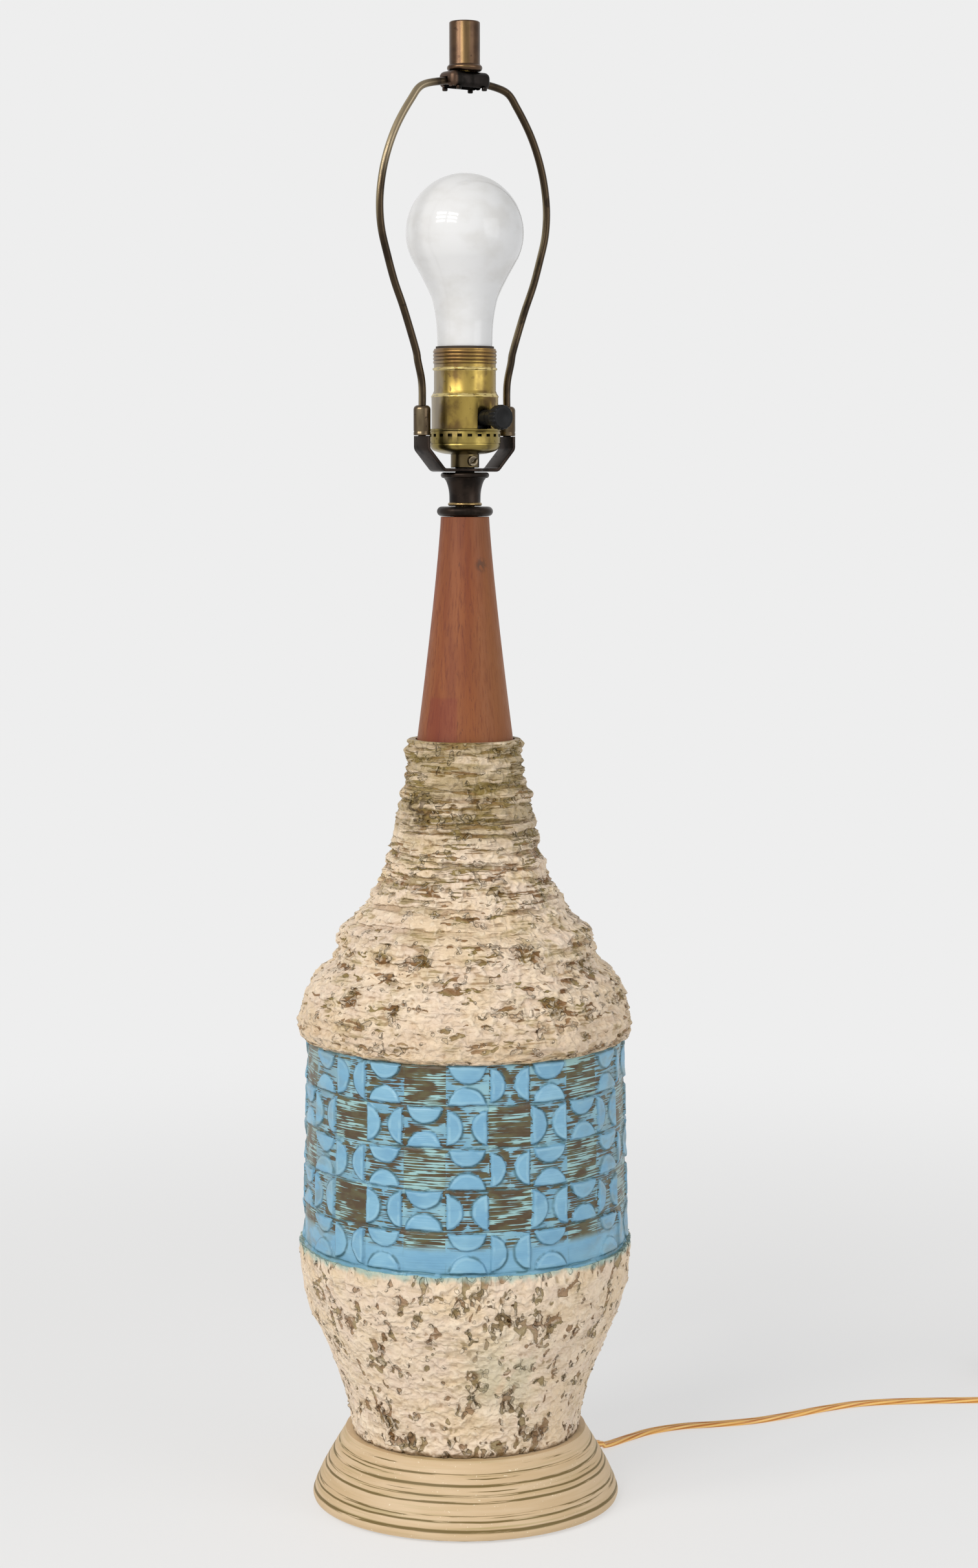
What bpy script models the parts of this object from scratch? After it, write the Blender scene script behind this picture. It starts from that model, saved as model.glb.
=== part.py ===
"""Fat lava ceramic table lamp with a wooden neck, a lamp socket, a bulb, a harp and a finial.

Units are metres, +Z is up, and the origin is the centre of the base on the table.
The lamp is stacked on one hollow threaded rod: felt, foot, ceramic body, wooden neck,
check ring, turned spacer, harp saddle and socket. Each seat is worked out from the piece below.
"""
import math

import bmesh
import bpy
from mathutils import Matrix, Vector

# Fits shared by all pieces
GAP = 0.0003
RUN_GAP = 0.0005
OVERRUN = 0.004
MERGE = 0.00001

# Flat two-core cord
CORD_WIDTH = 0.0056
CORD_RADIUS = CORD_WIDTH / 2
CORD_PLAY = 0.0007
CORD_TURN_SPACE = 0.0006

# Hollow threaded rod with its nut and washers under the foot
ROD_RADIUS = 0.0050
ROD_BORE_RADIUS = CORD_RADIUS + CORD_PLAY
ROD_HOLE_RADIUS = ROD_RADIUS + RUN_GAP
ROD_STANDOUT = 0.0015
WASHER_RADIUS = 0.0130
WASHER_THICKNESS = 0.0016
LOCK_WASHER_RADIUS = 0.0085
LOCK_WASHER_THICKNESS = 0.0012
NUT_RADIUS = 0.0084
NUT_HEIGHT = 0.0045

# Felt ring and turned foot
FELT_THICKNESS = 0.0012
FELT_INSET = 0.0045
FOOT_RADIUS = 0.0816
FOOT_TOP_RADIUS = 0.0640
FOOT_HEIGHT = 0.0365
FOOT_WALL = 0.0110
FOOT_WEB = 0.0100
CORD_EXIT_HEIGHT = 0.0120
CORD_EXIT_TURN = math.radians(45)

# Ceramic body: lower lava belt, recessed band, upper lava shoulder and neck
BODY_FOOT_RADIUS = 0.0606
BODY_BELT_RADIUS = 0.0886
BODY_BAND_LOW_RADIUS = 0.0854
BODY_BAND_TOP_RADIUS = 0.0830
BODY_SHOULDER_RADIUS = 0.0872
BODY_LIP_WALL = 0.0032
BODY_LOWER_HEIGHT = 0.1000
BODY_BAND_HEIGHT = 0.1080
BODY_UPPER_HEIGHT = 0.1600
BODY_WALL = 0.0070
BODY_WEB = 0.0090
NECK_SOCKET_DEPTH = 0.0055

# Wooden neck
NECK_FOOT_RADIUS = 0.0258
NECK_TOP_RADIUS = 0.0126
NECK_HEIGHT = 0.1210
NECK_TAPER_POWER = 1.2

# Check ring and turned spacer
RING_RADIUS = 0.0146
RING_HEIGHT = 0.0050
SPACER_HEIGHT = 0.0174
SPACER_WAIST_RADIUS = 0.0081
SPACER_FOOT_RADIUS = 0.0089
SPACER_FLANGE_RADIUS = 0.0126
SPACER_FLANGE_THICKNESS = 0.0030
SPACER_BEAD_HEIGHT = 0.0018

# Harp saddle, legs and sleeves, all in the harp's own plane
HARP_TURN = math.radians(37)
STRIP_THICKNESS = 0.0018
STRIP_WIDTH = 0.0124
STRIP_BEND = 0.0030
SADDLE_HALF_FLAT = 0.0172
SADDLE_EYE_RADIUS = 0.0098
SADDLE_EYE_THICKNESS = 0.0016
SADDLE_RISE = 0.0118
SADDLE_UPRIGHT = 0.0065
TAB_WIDTH = 0.0052
TAB_THICKNESS = 0.0015
TAB_LENGTH = 0.0085
HARP_WIRE_RADIUS = 0.00195
HARP_LEG_SPREAD = 0.0274
HARP_HALF_WIDTH = 0.0535
HARP_HEIGHT = 0.1714
SLEEVE_HEIGHT = 0.0154
SLEEVE_WALL = 0.0012
SLEEVE_TRAVEL = 0.0100
HARP_LEG_STRAIGHT = SLEEVE_HEIGHT + SLEEVE_TRAVEL - TAB_LENGTH + GAP

# Channel that joins the wires, and the stud and finial on it
CHANNEL_LENGTH = 0.0250
CHANNEL_WIDTH = 0.0135
CHANNEL_HEIGHT = 0.0086
CHANNEL_WALL = 0.0014
CHANNEL_ROUNDING = 0.0024
CHANNEL_WIRE_DROP = 0.0052
CHANNEL_WIRE_GRIP = 0.0060
CRIMP_LUG_SIZE = 0.0024
STUD_RADIUS = 0.0031
STUD_HEAD_RADIUS = 0.0048
STUD_HEAD_THICKNESS = 0.0012
STUD_STANDOUT = 0.0150
FINIAL_RADIUS = 0.0079
FINIAL_BEAD_RADIUS = 0.0091
FINIAL_HEIGHT = 0.0252
FINIAL_BEAD_HEIGHT = 0.0034
FINIAL_WALL = 0.0010
FINIAL_CORE_RADIUS = 0.0052

# Bulb with an Edison screw cap
BULB_RADIUS = 0.0305
BULB_NECK_STEP = 0.0009
BULB_GLASS_HEIGHT = 0.0940
BULB_GLASS_WALL = 0.0008
BULB_CAP_RADIUS = 0.0132
BULB_CAP_WALL = 0.0005
BULB_CAP_HEIGHT = 0.0190
BULB_CAP_GRIP = 0.0070
BULB_INSULATOR_HEIGHT = 0.0032
BULB_CONTACT_RADIUS = 0.0045
BULB_CONTACT_HEIGHT = 0.0016
BULB_STEM_RADIUS = 0.0032
BULB_STEM_HEIGHT = 0.0340
FILAMENT_RADIUS = 0.0005
FILAMENT_RISE = 0.0260
FILAMENT_HALF_SPAN = 0.0120

# Lamp socket: cap with its hub, shell, paper liner, moulded core and screw shell
BRASS_SHEET = 0.0006
SCREW_SHELL_WALL = 0.0005
LINER_PLAY = 0.0005
LINER_WALL = 0.0006
LINER_STANDOUT = 0.0012
SHELL_PLAY = 0.00035
SHELL_STEP = 0.00125
SHELL_BEAD = 0.0006
CAP_PLAY = 0.00055
HUB_WALL = 0.0024
HUB_RADIUS = ROD_RADIUS + HUB_WALL
HUB_HEIGHT = 0.0068
CAP_HEIGHT = 0.0200
CAP_BAND_HEIGHT = 0.0080
CAP_SLOT_COUNT = 22
CAP_SLOT_WIDTH = 0.0022
CAP_SLOT_HEIGHT = 0.0013
SHELL_BOTTOM = 0.0142
SHELL_LIP = 0.0045
CORE_BOTTOM = 0.0153
CORE_TOP = 0.0308
CORE_FLANGE_HEIGHT = 0.0036
CORE_RADIUS = 0.0124
SWITCH_HEIGHT = 0.0256
SWITCH_BOSS_RADIUS = 0.0040
SWITCH_BOSS_REACH = 0.0215
SWITCH_STEM_RADIUS = 0.0015
SWITCH_STEM_START = 0.0040
SWITCH_KNOB_RADIUS = 0.0064
SWITCH_KNOB_THICKNESS = 0.0056
SWITCH_KNOB_ROUNDING = 0.0011
SWITCH_KNOB_REACH = 0.0334
CONTACT_LEAF_WIDTH = 0.0060
CONTACT_LEAF_LENGTH = 0.0110
CONTACT_LEAF_THICKNESS = 0.0006
TERMINAL_HEAD_RADIUS = 0.0024
TERMINAL_HEAD_THICKNESS = 0.0012
TERMINAL_SHANK_RADIUS = 0.0013
TERMINAL_SHANK_LENGTH = 0.0040
TERMINAL_HEIGHT = 0.0050
SET_SCREW_HEAD_RADIUS = 0.0023
SET_SCREW_HEAD_LENGTH = 0.0014
SET_SCREW_RADIUS = 0.0014
SET_SCREW_TURN = math.radians(-7)
SET_SCREW_SLOT = 0.0006

# Grommet where the cord leaves the foot
GROMMET_WALL = 0.0014
GROMMET_FLANGE = 0.0014
GROMMET_FLANGE_THICKNESS = 0.0014
GROMMET_SEAT_DEPTH = 0.0030

# Coil of spare cord, its tie, and the plug beside it
COIL_TURNS_IN = 3.0
COIL_TURNS_OUT = 3.25
COIL_CLIMB_TURNS = 0.5
COIL_STEPS = 24
COIL_INNER_RADIUS = 0.0262
TIE_THICKNESS = 0.0010
TIE_WIDTH = 0.0060
TIE_TURN = math.radians(150)
PLUG_LENGTH = 0.0280
PLUG_WIDTH = 0.0240
PLUG_NOSE_WIDTH = 0.0110
PLUG_THICKNESS = 0.0130
PLUG_SHOULDER = 0.0126
PLUG_ROUNDING = 0.0025
BLADE_LENGTH = 0.0160
BLADE_GRIP = 0.0050
BLADE_WIDTH = 0.0063
BLADE_THICKNESS = 0.0015
BLADE_SPACING = 0.0127
CORD_TAIL_RUN = 0.0420

# Route of the cord on the table: how far each point is along X and Y from the grommet, and its height
CORD_ROUTE = [
    (0.0000, 0.0000, 0.0120),
    (0.0040, 0.0040, 0.0119),
    (0.0085, 0.0085, 0.0105),
    (0.0135, 0.0135, 0.0073),
    (0.0185, 0.0186, 0.0045),
    (0.0250, 0.0255, 0.0030),
    (0.0372, 0.0380, 0.0029),
    (0.0502, 0.0497, 0.0029),
    (0.0682, 0.0587, 0.0029),
    (0.0892, 0.0632, 0.0029),
    (0.1102, 0.0692, 0.0029),
    (0.1312, 0.0797, 0.0029),
    (0.1532, 0.0927, 0.0029),
    (0.1752, 0.1027, 0.0029),
    (0.2012, 0.1074, 0.0029),
    (0.2292, 0.1090, 0.0029),
    (0.2572, 0.1097, 0.0031),
    (0.2752, 0.1100, 0.0040),
    (0.2912, 0.1100, 0.0042),
    (0.3052, 0.1100, 0.0042),
]

# Points of turned outlines, as shares of the height and of the difference between two radii
FOOT_OUTLINE_SHARES = [(1.0, 0.0), (0.94, 0.06), (0.72, 0.34), (0.45, 0.66), (0.25, 0.86), (0.12, 0.97),
                       (0.05, 1.0), (0.0, 0.97)]
LOWER_OUTLINE_SHARES = [(1.0, 1.0), (0.93, 0.97), (0.80, 0.88), (0.64, 0.72), (0.50, 0.50), (0.35, 0.28),
                        (0.18, 0.12), (0.0, 0.0)]
UPPER_OUTLINE_SHARES = [(1.0, 0.0), (0.86, 0.06), (0.70, 0.145), (0.60, 0.21), (0.53, 0.29), (0.47, 0.38),
                        (0.41, 0.51), (0.37, 0.63), (0.28, 0.70), (0.22, 0.87), (0.15, 0.955), (0.06, 1.0),
                        (0.0, 0.955)]
INNER_UPPER_SHARES = [(0.92, 0.0), (0.62, 0.12), (0.42, 0.40), (0.24, 0.76)]
HARP_OUTLINE_SHARES = [(0.170, 0.562), (0.208, 0.589), (0.324, 0.725), (0.401, 0.830), (0.478, 0.912),
                       (0.555, 0.981), (0.631, 1.0), (0.709, 0.972), (0.785, 0.905), (0.862, 0.794),
                       (0.938, 0.632), (0.982, 0.499)]
BULB_NECK_SHARES = [(0.88, 0.75), (0.76, 0.51), (0.65, 0.31), (0.54, 0.17), (0.33, 0.045), (0.0, 0.0)]
SPACER_COVE_SHARES = [(1.0, 0.62), (0.86, 0.36), (0.62, 0.14), (0.34, 0.02), (0.0, 0.0)]
CAP_DISH_SHARES = [(1.0, 1.0), (0.45, 0.84), (0.12, 0.40), (0.0, 0.0)]

# The cord's tail: how far along it each point is, and how far it has come down to the plug's height
CORD_TAIL_SHARES = [(0.0, 0.0), (0.14, 0.0), (0.35, 0.25), (0.60, 0.75), (0.86, 1.0), (1.0, 1.0)]

# Distance between the points of the cord's tube, as a share of the cord's width
CORD_SPACING_SHARE = 2.2

# Place of the first slot round the cap, as a share of one slot's pitch
CAP_SLOT_START_SHARE = 0.25

# Share of the bulb's radius at which its ball gives way to the neck
BULB_BALL_END_SHARE = 0.42

# Places of the shell's shoulder and of its rolled rings, as shares of its height
SHELL_SHOULDER_SHARE = 0.49
SHELL_RING_SHARE = 0.13
SHELL_RING_COUNT = 4

# Facets around turned pieces
BODY_SIDES = 36
BULB_SIDES = 22
SMALL_SIDES = 24
TINY_SIDES = 12
SHELL_SIDES = 32

# Heights of the seats, from the table upwards
FOOT_SEAT = FELT_THICKNESS + GAP
FOOT_TOP = FOOT_SEAT + FOOT_HEIGHT
FOOT_CEILING = FOOT_TOP - FOOT_WEB
BODY_SEAT = FOOT_TOP + GAP
BAND_LOW = BODY_SEAT + BODY_LOWER_HEIGHT
BAND_TOP = BAND_LOW + BODY_BAND_HEIGHT
BODY_TOP = BAND_TOP + BODY_UPPER_HEIGHT
NECK_SEAT = BODY_TOP - NECK_SOCKET_DEPTH + GAP
NECK_TOP = NECK_SEAT + NECK_HEIGHT
RING_SEAT = NECK_TOP + GAP
SPACER_SEAT = RING_SEAT + RING_HEIGHT + GAP
SADDLE_SEAT = SPACER_SEAT + SPACER_HEIGHT + GAP
SOCKET_SEAT = SADDLE_SEAT + STRIP_THICKNESS + GAP
SADDLE_SHOULDER = SADDLE_SEAT + SADDLE_RISE + SADDLE_UPRIGHT
TAB_TOP = SADDLE_SHOULDER + GAP + TAB_LENGTH
WIRE_FOOT = TAB_TOP + GAP
WIRE_TOP = WIRE_FOOT + HARP_HEIGHT
CHANNEL_TOP = WIRE_TOP + CHANNEL_WIRE_DROP
FINIAL_SEAT = CHANNEL_TOP + GAP
WASHER_TOP = FOOT_CEILING - GAP
LOCK_WASHER_TOP = WASHER_TOP - WASHER_THICKNESS - GAP
NUT_TOP = LOCK_WASHER_TOP - LOCK_WASHER_THICKNESS - GAP
ROD_BOTTOM = NUT_TOP - NUT_HEIGHT - ROD_STANDOUT
ROD_TOP = SOCKET_SEAT + HUB_HEIGHT

# Heights of the bulb's base in the socket, above the socket's seat
BULB_CONTACT_LOW = CORE_TOP + GAP + CONTACT_LEAF_THICKNESS + RUN_GAP
BULB_INSULATOR_LOW = BULB_CONTACT_LOW + BULB_CONTACT_HEIGHT + GAP
BULB_CAP_LOW = BULB_INSULATOR_LOW + BULB_INSULATOR_HEIGHT + GAP
BULB_CAP_TOP = BULB_CAP_LOW + BULB_CAP_HEIGHT
SHELL_TOP = BULB_CAP_TOP + SHELL_LIP

# The ceramic lip stands round the wooden neck's foot
BODY_LIP_RADIUS = NECK_FOOT_RADIUS + BODY_LIP_WALL

# Radii of the socket, from the screw outwards
SCREW_SHELL_INNER = BULB_CAP_RADIUS + GAP
SCREW_SHELL_OUTER = SCREW_SHELL_INNER + SCREW_SHELL_WALL
LINER_INNER = SCREW_SHELL_OUTER + LINER_PLAY
LINER_OUTER = LINER_INNER + LINER_WALL
SHELL_INNER = LINER_OUTER + SHELL_PLAY
SHELL_OUTER = SHELL_INNER + BRASS_SHEET
SHELL_LOW_OUTER = SHELL_OUTER + SHELL_STEP
CAP_INNER = SHELL_LOW_OUTER + CAP_PLAY
CAP_OUTER = CAP_INNER + BRASS_SHEET


def clear_file():
    """Remove the objects of the file that the script runs in."""
    for item in list(bpy.data.objects):
        bpy.data.objects.remove(item, do_unlink=True)


def new_collection(name):
    collection = bpy.data.collections.new(name)
    bpy.context.scene.collection.children.link(collection)
    return collection


def material(name, colour, roughness, metallic=0.0, transmission=0.0):
    """One plain finish for a sub-part."""
    finish = bpy.data.materials.new(name)
    finish.use_nodes = True
    shader = finish.node_tree.nodes["Principled BSDF"]
    shader.inputs["Base Color"].default_value = (*colour, 1.0)
    shader.inputs["Roughness"].default_value = roughness
    shader.inputs["Metallic"].default_value = metallic
    shader.inputs["Transmission Weight"].default_value = transmission
    return finish


def add_object(name, data, finish, collection, parent=None):
    item = bpy.data.objects.new(name, data)
    collection.objects.link(item)
    if finish:
        data.materials.append(finish)
    if parent:
        item.parent = parent
    return item


def add_axis(name, place, turn, parts, parent=None):
    """An empty that carries pieces which share one axis."""
    axis = bpy.data.objects.new(name, None)
    axis.location = place
    axis.rotation_euler = (0, 0, turn)
    axis.parent = parent
    parts.objects.link(axis)
    return axis


def turned(name, outline, finish, collection, parent=None, sides=SMALL_SIDES, closed=True):
    """A turned piece: an outline of (radius, height) that runs down its outer side, spun about Z."""
    mesh = bpy.data.meshes.new(name)
    points = [(radius, 0, height) for radius, height in outline]
    edges = [(i, i + 1) for i in range(len(points) - 1)]
    if closed:
        edges.append((len(points) - 1, 0))
    mesh.from_pydata(points, edges, [])
    item = add_object(name, mesh, finish, collection, parent)
    screw = item.modifiers.new("spin", "SCREW")
    screw.axis = "Z"
    screw.angle = math.tau
    screw.steps = sides
    screw.render_steps = sides
    screw.use_merge_vertices = True
    screw.merge_threshold = MERGE
    screw.use_smooth_shade = True
    return item


def arc(centre_radius, centre_height, radius, start, end, steps):
    """Points of a round stretch of an outline, with angles in degrees from the outward direction."""
    turns = [math.radians(start + (end - start) * i / steps) for i in range(steps + 1)]
    return [(centre_radius + radius * math.cos(turn), centre_height + radius * math.sin(turn))
            for turn in turns]


def share_outline(shares, bottom, height, inner, outer):
    """Outline points from shares of a height and of the way from one radius to another."""
    return [(inner + (outer - inner) * across, bottom + height * up) for up, across in shares]


def smooth_points(points, spans):
    """Points along a smooth curve that passes through the given ones."""
    places = [Vector(point) for point in points]
    places.insert(0, 2 * places[0] - places[1])
    places.append(2 * places[-1] - places[-2])
    result = []
    for i in range(1, len(places) - 2):
        before, start, end, after = places[i - 1:i + 3]
        for step in range(spans):
            t = step / spans
            result.append(0.5 * (2 * start + (end - before) * t
                                 + (2 * before - 5 * start + 4 * end - after) * t ** 2
                                 + (3 * start - before - 3 * end + after) * t ** 3))
    result.append(places[-2])
    return result


def even_points(points, step):
    """The same line with its points an even distance apart."""
    lengths = [0.0]
    for first, second in zip(points, points[1:]):
        lengths.append(lengths[-1] + (second - first).length)
    count = max(2, round(lengths[-1] / step))
    result = []
    index = 0
    for i in range(count + 1):
        target = lengths[-1] * i / count
        while index < len(lengths) - 2 and lengths[index + 1] < target:
            index += 1
        part = (target - lengths[index]) / (lengths[index + 1] - lengths[index])
        result.append(points[index].lerp(points[index + 1], min(part, 1.0)))
    return result


def line_length(points):
    return sum((Vector(second) - Vector(first)).length for first, second in zip(points, points[1:]))


def tube(name, points, radius, finish, collection, parent=None, resolution=2):
    """A round wire or cord along a line of points."""
    curve = bpy.data.curves.new(name, "CURVE")
    curve.dimensions = "3D"
    curve.bevel_depth = radius
    curve.bevel_resolution = resolution
    curve.use_fill_caps = True
    curve.render_resolution_u = 0
    spline = curve.splines.new("POLY")
    spline.points.add(len(points) - 1)
    for point, place in zip(spline.points, points):
        point.co = (*place, 1.0)
    spline.use_smooth = True
    return add_object(name, curve, finish, collection, parent)


def flat_piece(name, outline, thickness, finish, collection, parent=None):
    """A flat outline in its own XY plane, thickened both ways, as a mesh."""
    curve = bpy.data.curves.new(name, "CURVE")
    curve.dimensions = "2D"
    curve.fill_mode = "BOTH"
    curve.extrude = thickness / 2
    curve.render_resolution_u = 0
    spline = curve.splines.new("POLY")
    spline.points.add(len(outline) - 1)
    for point, (x, y) in zip(spline.points, outline):
        point.co = (x, y, 0, 1)
    spline.use_cyclic_u = True
    item = add_object(name, curve, finish, collection, parent)
    return curve_to_mesh(item, finish, collection)


def curve_to_mesh(item, finish, collection):
    """Replace a curve object by a mesh with welded caps, so that it can be cut and joined."""
    bpy.context.view_layer.update()
    graph = bpy.context.evaluated_depsgraph_get()
    mesh = bpy.data.meshes.new_from_object(item.evaluated_get(graph))
    weld(mesh)
    name = item.name
    parent = item.parent
    place = item.matrix_world.copy()
    bpy.data.objects.remove(item, do_unlink=True)
    mesh.name = name
    mesh.materials.clear()
    result = add_object(name, mesh, finish, collection, parent)
    result.matrix_world = place
    return result


def weld(mesh):
    shape = bmesh.new()
    shape.from_mesh(mesh)
    bmesh.ops.remove_doubles(shape, verts=shape.verts, dist=MERGE)
    bmesh.ops.recalc_face_normals(shape, faces=shape.faces)
    shape.to_mesh(mesh)
    shape.free()


def block(name, size, centre, finish, collection, parent=None):
    """A rectangular block, made at its size."""
    mesh = bpy.data.meshes.new(name)
    shape = bmesh.new()
    bmesh.ops.create_cube(shape, size=1.0)
    bmesh.ops.scale(shape, vec=Vector(size), verts=shape.verts)
    shape.to_mesh(mesh)
    shape.free()
    item = add_object(name, mesh, finish, collection, parent)
    item.location = centre
    return item


def cylinder(name, radius, length, centre, finish, collection, parent=None, sides=TINY_SIDES):
    """An upright cylinder about its centre."""
    mesh = bpy.data.meshes.new(name)
    shape = bmesh.new()
    bmesh.ops.create_cone(shape, cap_ends=True, segments=sides, radius1=radius, radius2=radius, depth=length)
    shape.to_mesh(mesh)
    shape.free()
    item = add_object(name, mesh, finish, collection, parent)
    item.location = centre
    return item


def as_cutter(item):
    item.hide_render = True
    item.display_type = "WIRE"
    return item


def combine(item, other, operation):
    """Cut or join one object with another."""
    change = item.modifiers.new(other.name, "BOOLEAN")
    change.operation = operation
    change.object = other
    return change


def rounded(item, width, segments=2, angle=math.radians(35)):
    bevel = item.modifiers.new("edges", "BEVEL")
    bevel.width = width
    bevel.segments = segments
    bevel.limit_method = "ANGLE"
    bevel.angle_limit = angle
    return bevel


def lay_along(item, direction):
    """Turn a piece that stands along Z so that it lies along a direction."""
    item.rotation_mode = "QUATERNION"
    item.rotation_quaternion = Vector(direction).to_track_quat("Z", "Y")


def rounded_line(corners, radius, steps):
    """A flat line whose inner corners are arcs."""
    places = [Vector(corner) for corner in corners]
    result = [places[0]]
    for before, corner, after in zip(places, places[1:], places[2:]):
        inward = (before - corner).normalized()
        outward = (after - corner).normalized()
        half_angle = inward.angle(outward) / 2
        cut_back = radius / math.tan(half_angle)
        middle = corner + (inward + outward).normalized() * radius / math.sin(half_angle)
        start = corner + inward * cut_back - middle
        end = corner + outward * cut_back - middle
        for i in range(steps + 1):
            arm = start.lerp(end, i / steps).normalized() * radius
            result.append(middle + arm)
    result.append(places[-1])
    return result


def strip_outline(line, thickness):
    """The outline of a bent strip, seen from its edge."""
    left = []
    right = []
    for i, place in enumerate(line):
        ahead = line[min(i + 1, len(line) - 1)] - line[max(i - 1, 0)]
        across = Vector((-ahead.y, ahead.x)).normalized() * thickness / 2
        left.append(place + across)
        right.append(place - across)
    return left + right[::-1]


def foot_radius_at(height):
    """The foot's outer radius at a height above its own bottom."""
    outline = share_outline(FOOT_OUTLINE_SHARES, 0, FOOT_HEIGHT, FOOT_TOP_RADIUS, FOOT_RADIUS)
    for (radius, upper), (next_radius, lower) in zip(outline, outline[1:]):
        if lower <= height <= upper:
            return next_radius + (radius - next_radius) * (height - lower) / (upper - lower)
    return FOOT_RADIUS


def make_foot(parts, cutters, finishes):
    """Felt ring and the turned foot, hollow underneath, with the hole for the cord."""
    felt_outer = FOOT_RADIUS - FELT_INSET
    cavity_radius = FOOT_RADIUS - FOOT_WALL
    felt_inner = cavity_radius - FELT_INSET
    felt = [(felt_inner, FELT_THICKNESS), (felt_outer, FELT_THICKNESS), (felt_outer, 0), (felt_inner, 0)]
    turned("felt_ring", felt, finishes["felt"], parts, sides=BODY_SIDES)

    outer = share_outline(FOOT_OUTLINE_SHARES, 0, FOOT_HEIGHT, FOOT_TOP_RADIUS, FOOT_RADIUS)
    ceiling = FOOT_HEIGHT - FOOT_WEB
    ceiling_radius = FOOT_TOP_RADIUS - FOOT_WALL
    shoulder = FOOT_WALL / 2
    inner = [(cavity_radius, 0), (cavity_radius - shoulder / 2, ceiling / 2),
             (ceiling_radius + shoulder / 2, ceiling - shoulder / 2), (ceiling_radius, ceiling),
             (ROD_HOLE_RADIUS, ceiling), (ROD_HOLE_RADIUS, FOOT_HEIGHT)]
    foot = turned("base_foot", outer + inner, finishes["foot"], parts, sides=BODY_SIDES)
    foot.location.z = FOOT_SEAT

    sideways = Vector((math.cos(CORD_EXIT_TURN), math.sin(CORD_EXIT_TURN), 0))
    height = Vector((0, 0, CORD_EXIT_HEIGHT))
    seat = grommet_seat_radius()
    hole_radius = CORD_RADIUS + GAP + GROMMET_WALL + GAP
    spot_radius = hole_radius + GROMMET_FLANGE + GAP
    stepped = [(0, FOOT_WALL), (spot_radius, FOOT_WALL), (spot_radius, 0), (hole_radius, 0),
               (hole_radius, -2 * FOOT_WALL), (0, -2 * FOOT_WALL)]
    hole = turned("cord_hole", stepped, None, cutters, sides=TINY_SIDES, closed=False)
    hole.location = sideways * seat + height
    lay_along(hole, sideways)
    combine(foot, as_cutter(hole), "DIFFERENCE")

    inner_radius = CORD_RADIUS + GAP
    outer_radius = inner_radius + GROMMET_WALL
    flange_radius = outer_radius + GROMMET_FLANGE
    rounding = GROMMET_FLANGE_THICKNESS / 2
    collar = [(inner_radius, GROMMET_FLANGE_THICKNESS), (flange_radius - rounding, GROMMET_FLANGE_THICKNESS),
              (flange_radius, rounding), (flange_radius, 0), (outer_radius, 0), (outer_radius, -FOOT_WALL),
              (inner_radius, -FOOT_WALL)]
    grommet = turned("cord_grommet", collar, finishes["rubber"], parts, sides=TINY_SIDES)
    grommet.location = sideways * (seat + GAP) + height
    lay_along(grommet, sideways)


def grommet_seat_radius():
    """Distance from the lamp's axis to the flat that the grommet's flange rests on."""
    return foot_radius_at(CORD_EXIT_HEIGHT - FOOT_SEAT) - GROMMET_SEAT_DEPTH


def cord_exit_radius():
    """Distance from the lamp's axis to the grommet's outer face, where the free cord begins."""
    return grommet_seat_radius() + GAP + GROMMET_FLANGE_THICKNESS


def make_rod(parts, cutters, finishes):
    """Hollow rod with the nut and the washers that pull the lamp together."""
    rod = [(ROD_BORE_RADIUS, ROD_TOP), (ROD_RADIUS, ROD_TOP), (ROD_RADIUS, ROD_BOTTOM),
           (ROD_BORE_RADIUS, ROD_BOTTOM)]
    turned("threaded_rod", rod, finishes["zinc"], parts, sides=TINY_SIDES)

    inner = ROD_RADIUS + GAP
    washer = [(inner, 0), (WASHER_RADIUS, 0), (WASHER_RADIUS, -WASHER_THICKNESS), (inner, -WASHER_THICKNESS)]
    washer = turned("base_washer", washer, finishes["steel"], parts, sides=TINY_SIDES)
    washer.location.z = WASHER_TOP

    lock = [(inner, 0), (LOCK_WASHER_RADIUS, 0), (LOCK_WASHER_RADIUS, -LOCK_WASHER_THICKNESS),
            (inner, -LOCK_WASHER_THICKNESS)]
    lock = turned("base_lock_washer", lock, finishes["steel"], parts, sides=TINY_SIDES)
    lock.location.z = LOCK_WASHER_TOP

    middle = (0, 0, NUT_TOP - NUT_HEIGHT / 2)
    nut = cylinder("base_nut", NUT_RADIUS, NUT_HEIGHT, middle, finishes["steel"], parts, sides=6)
    bore = cylinder("nut_bore", inner, NUT_HEIGHT + OVERRUN, middle, None, cutters)
    combine(nut, as_cutter(bore), "DIFFERENCE")


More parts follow.
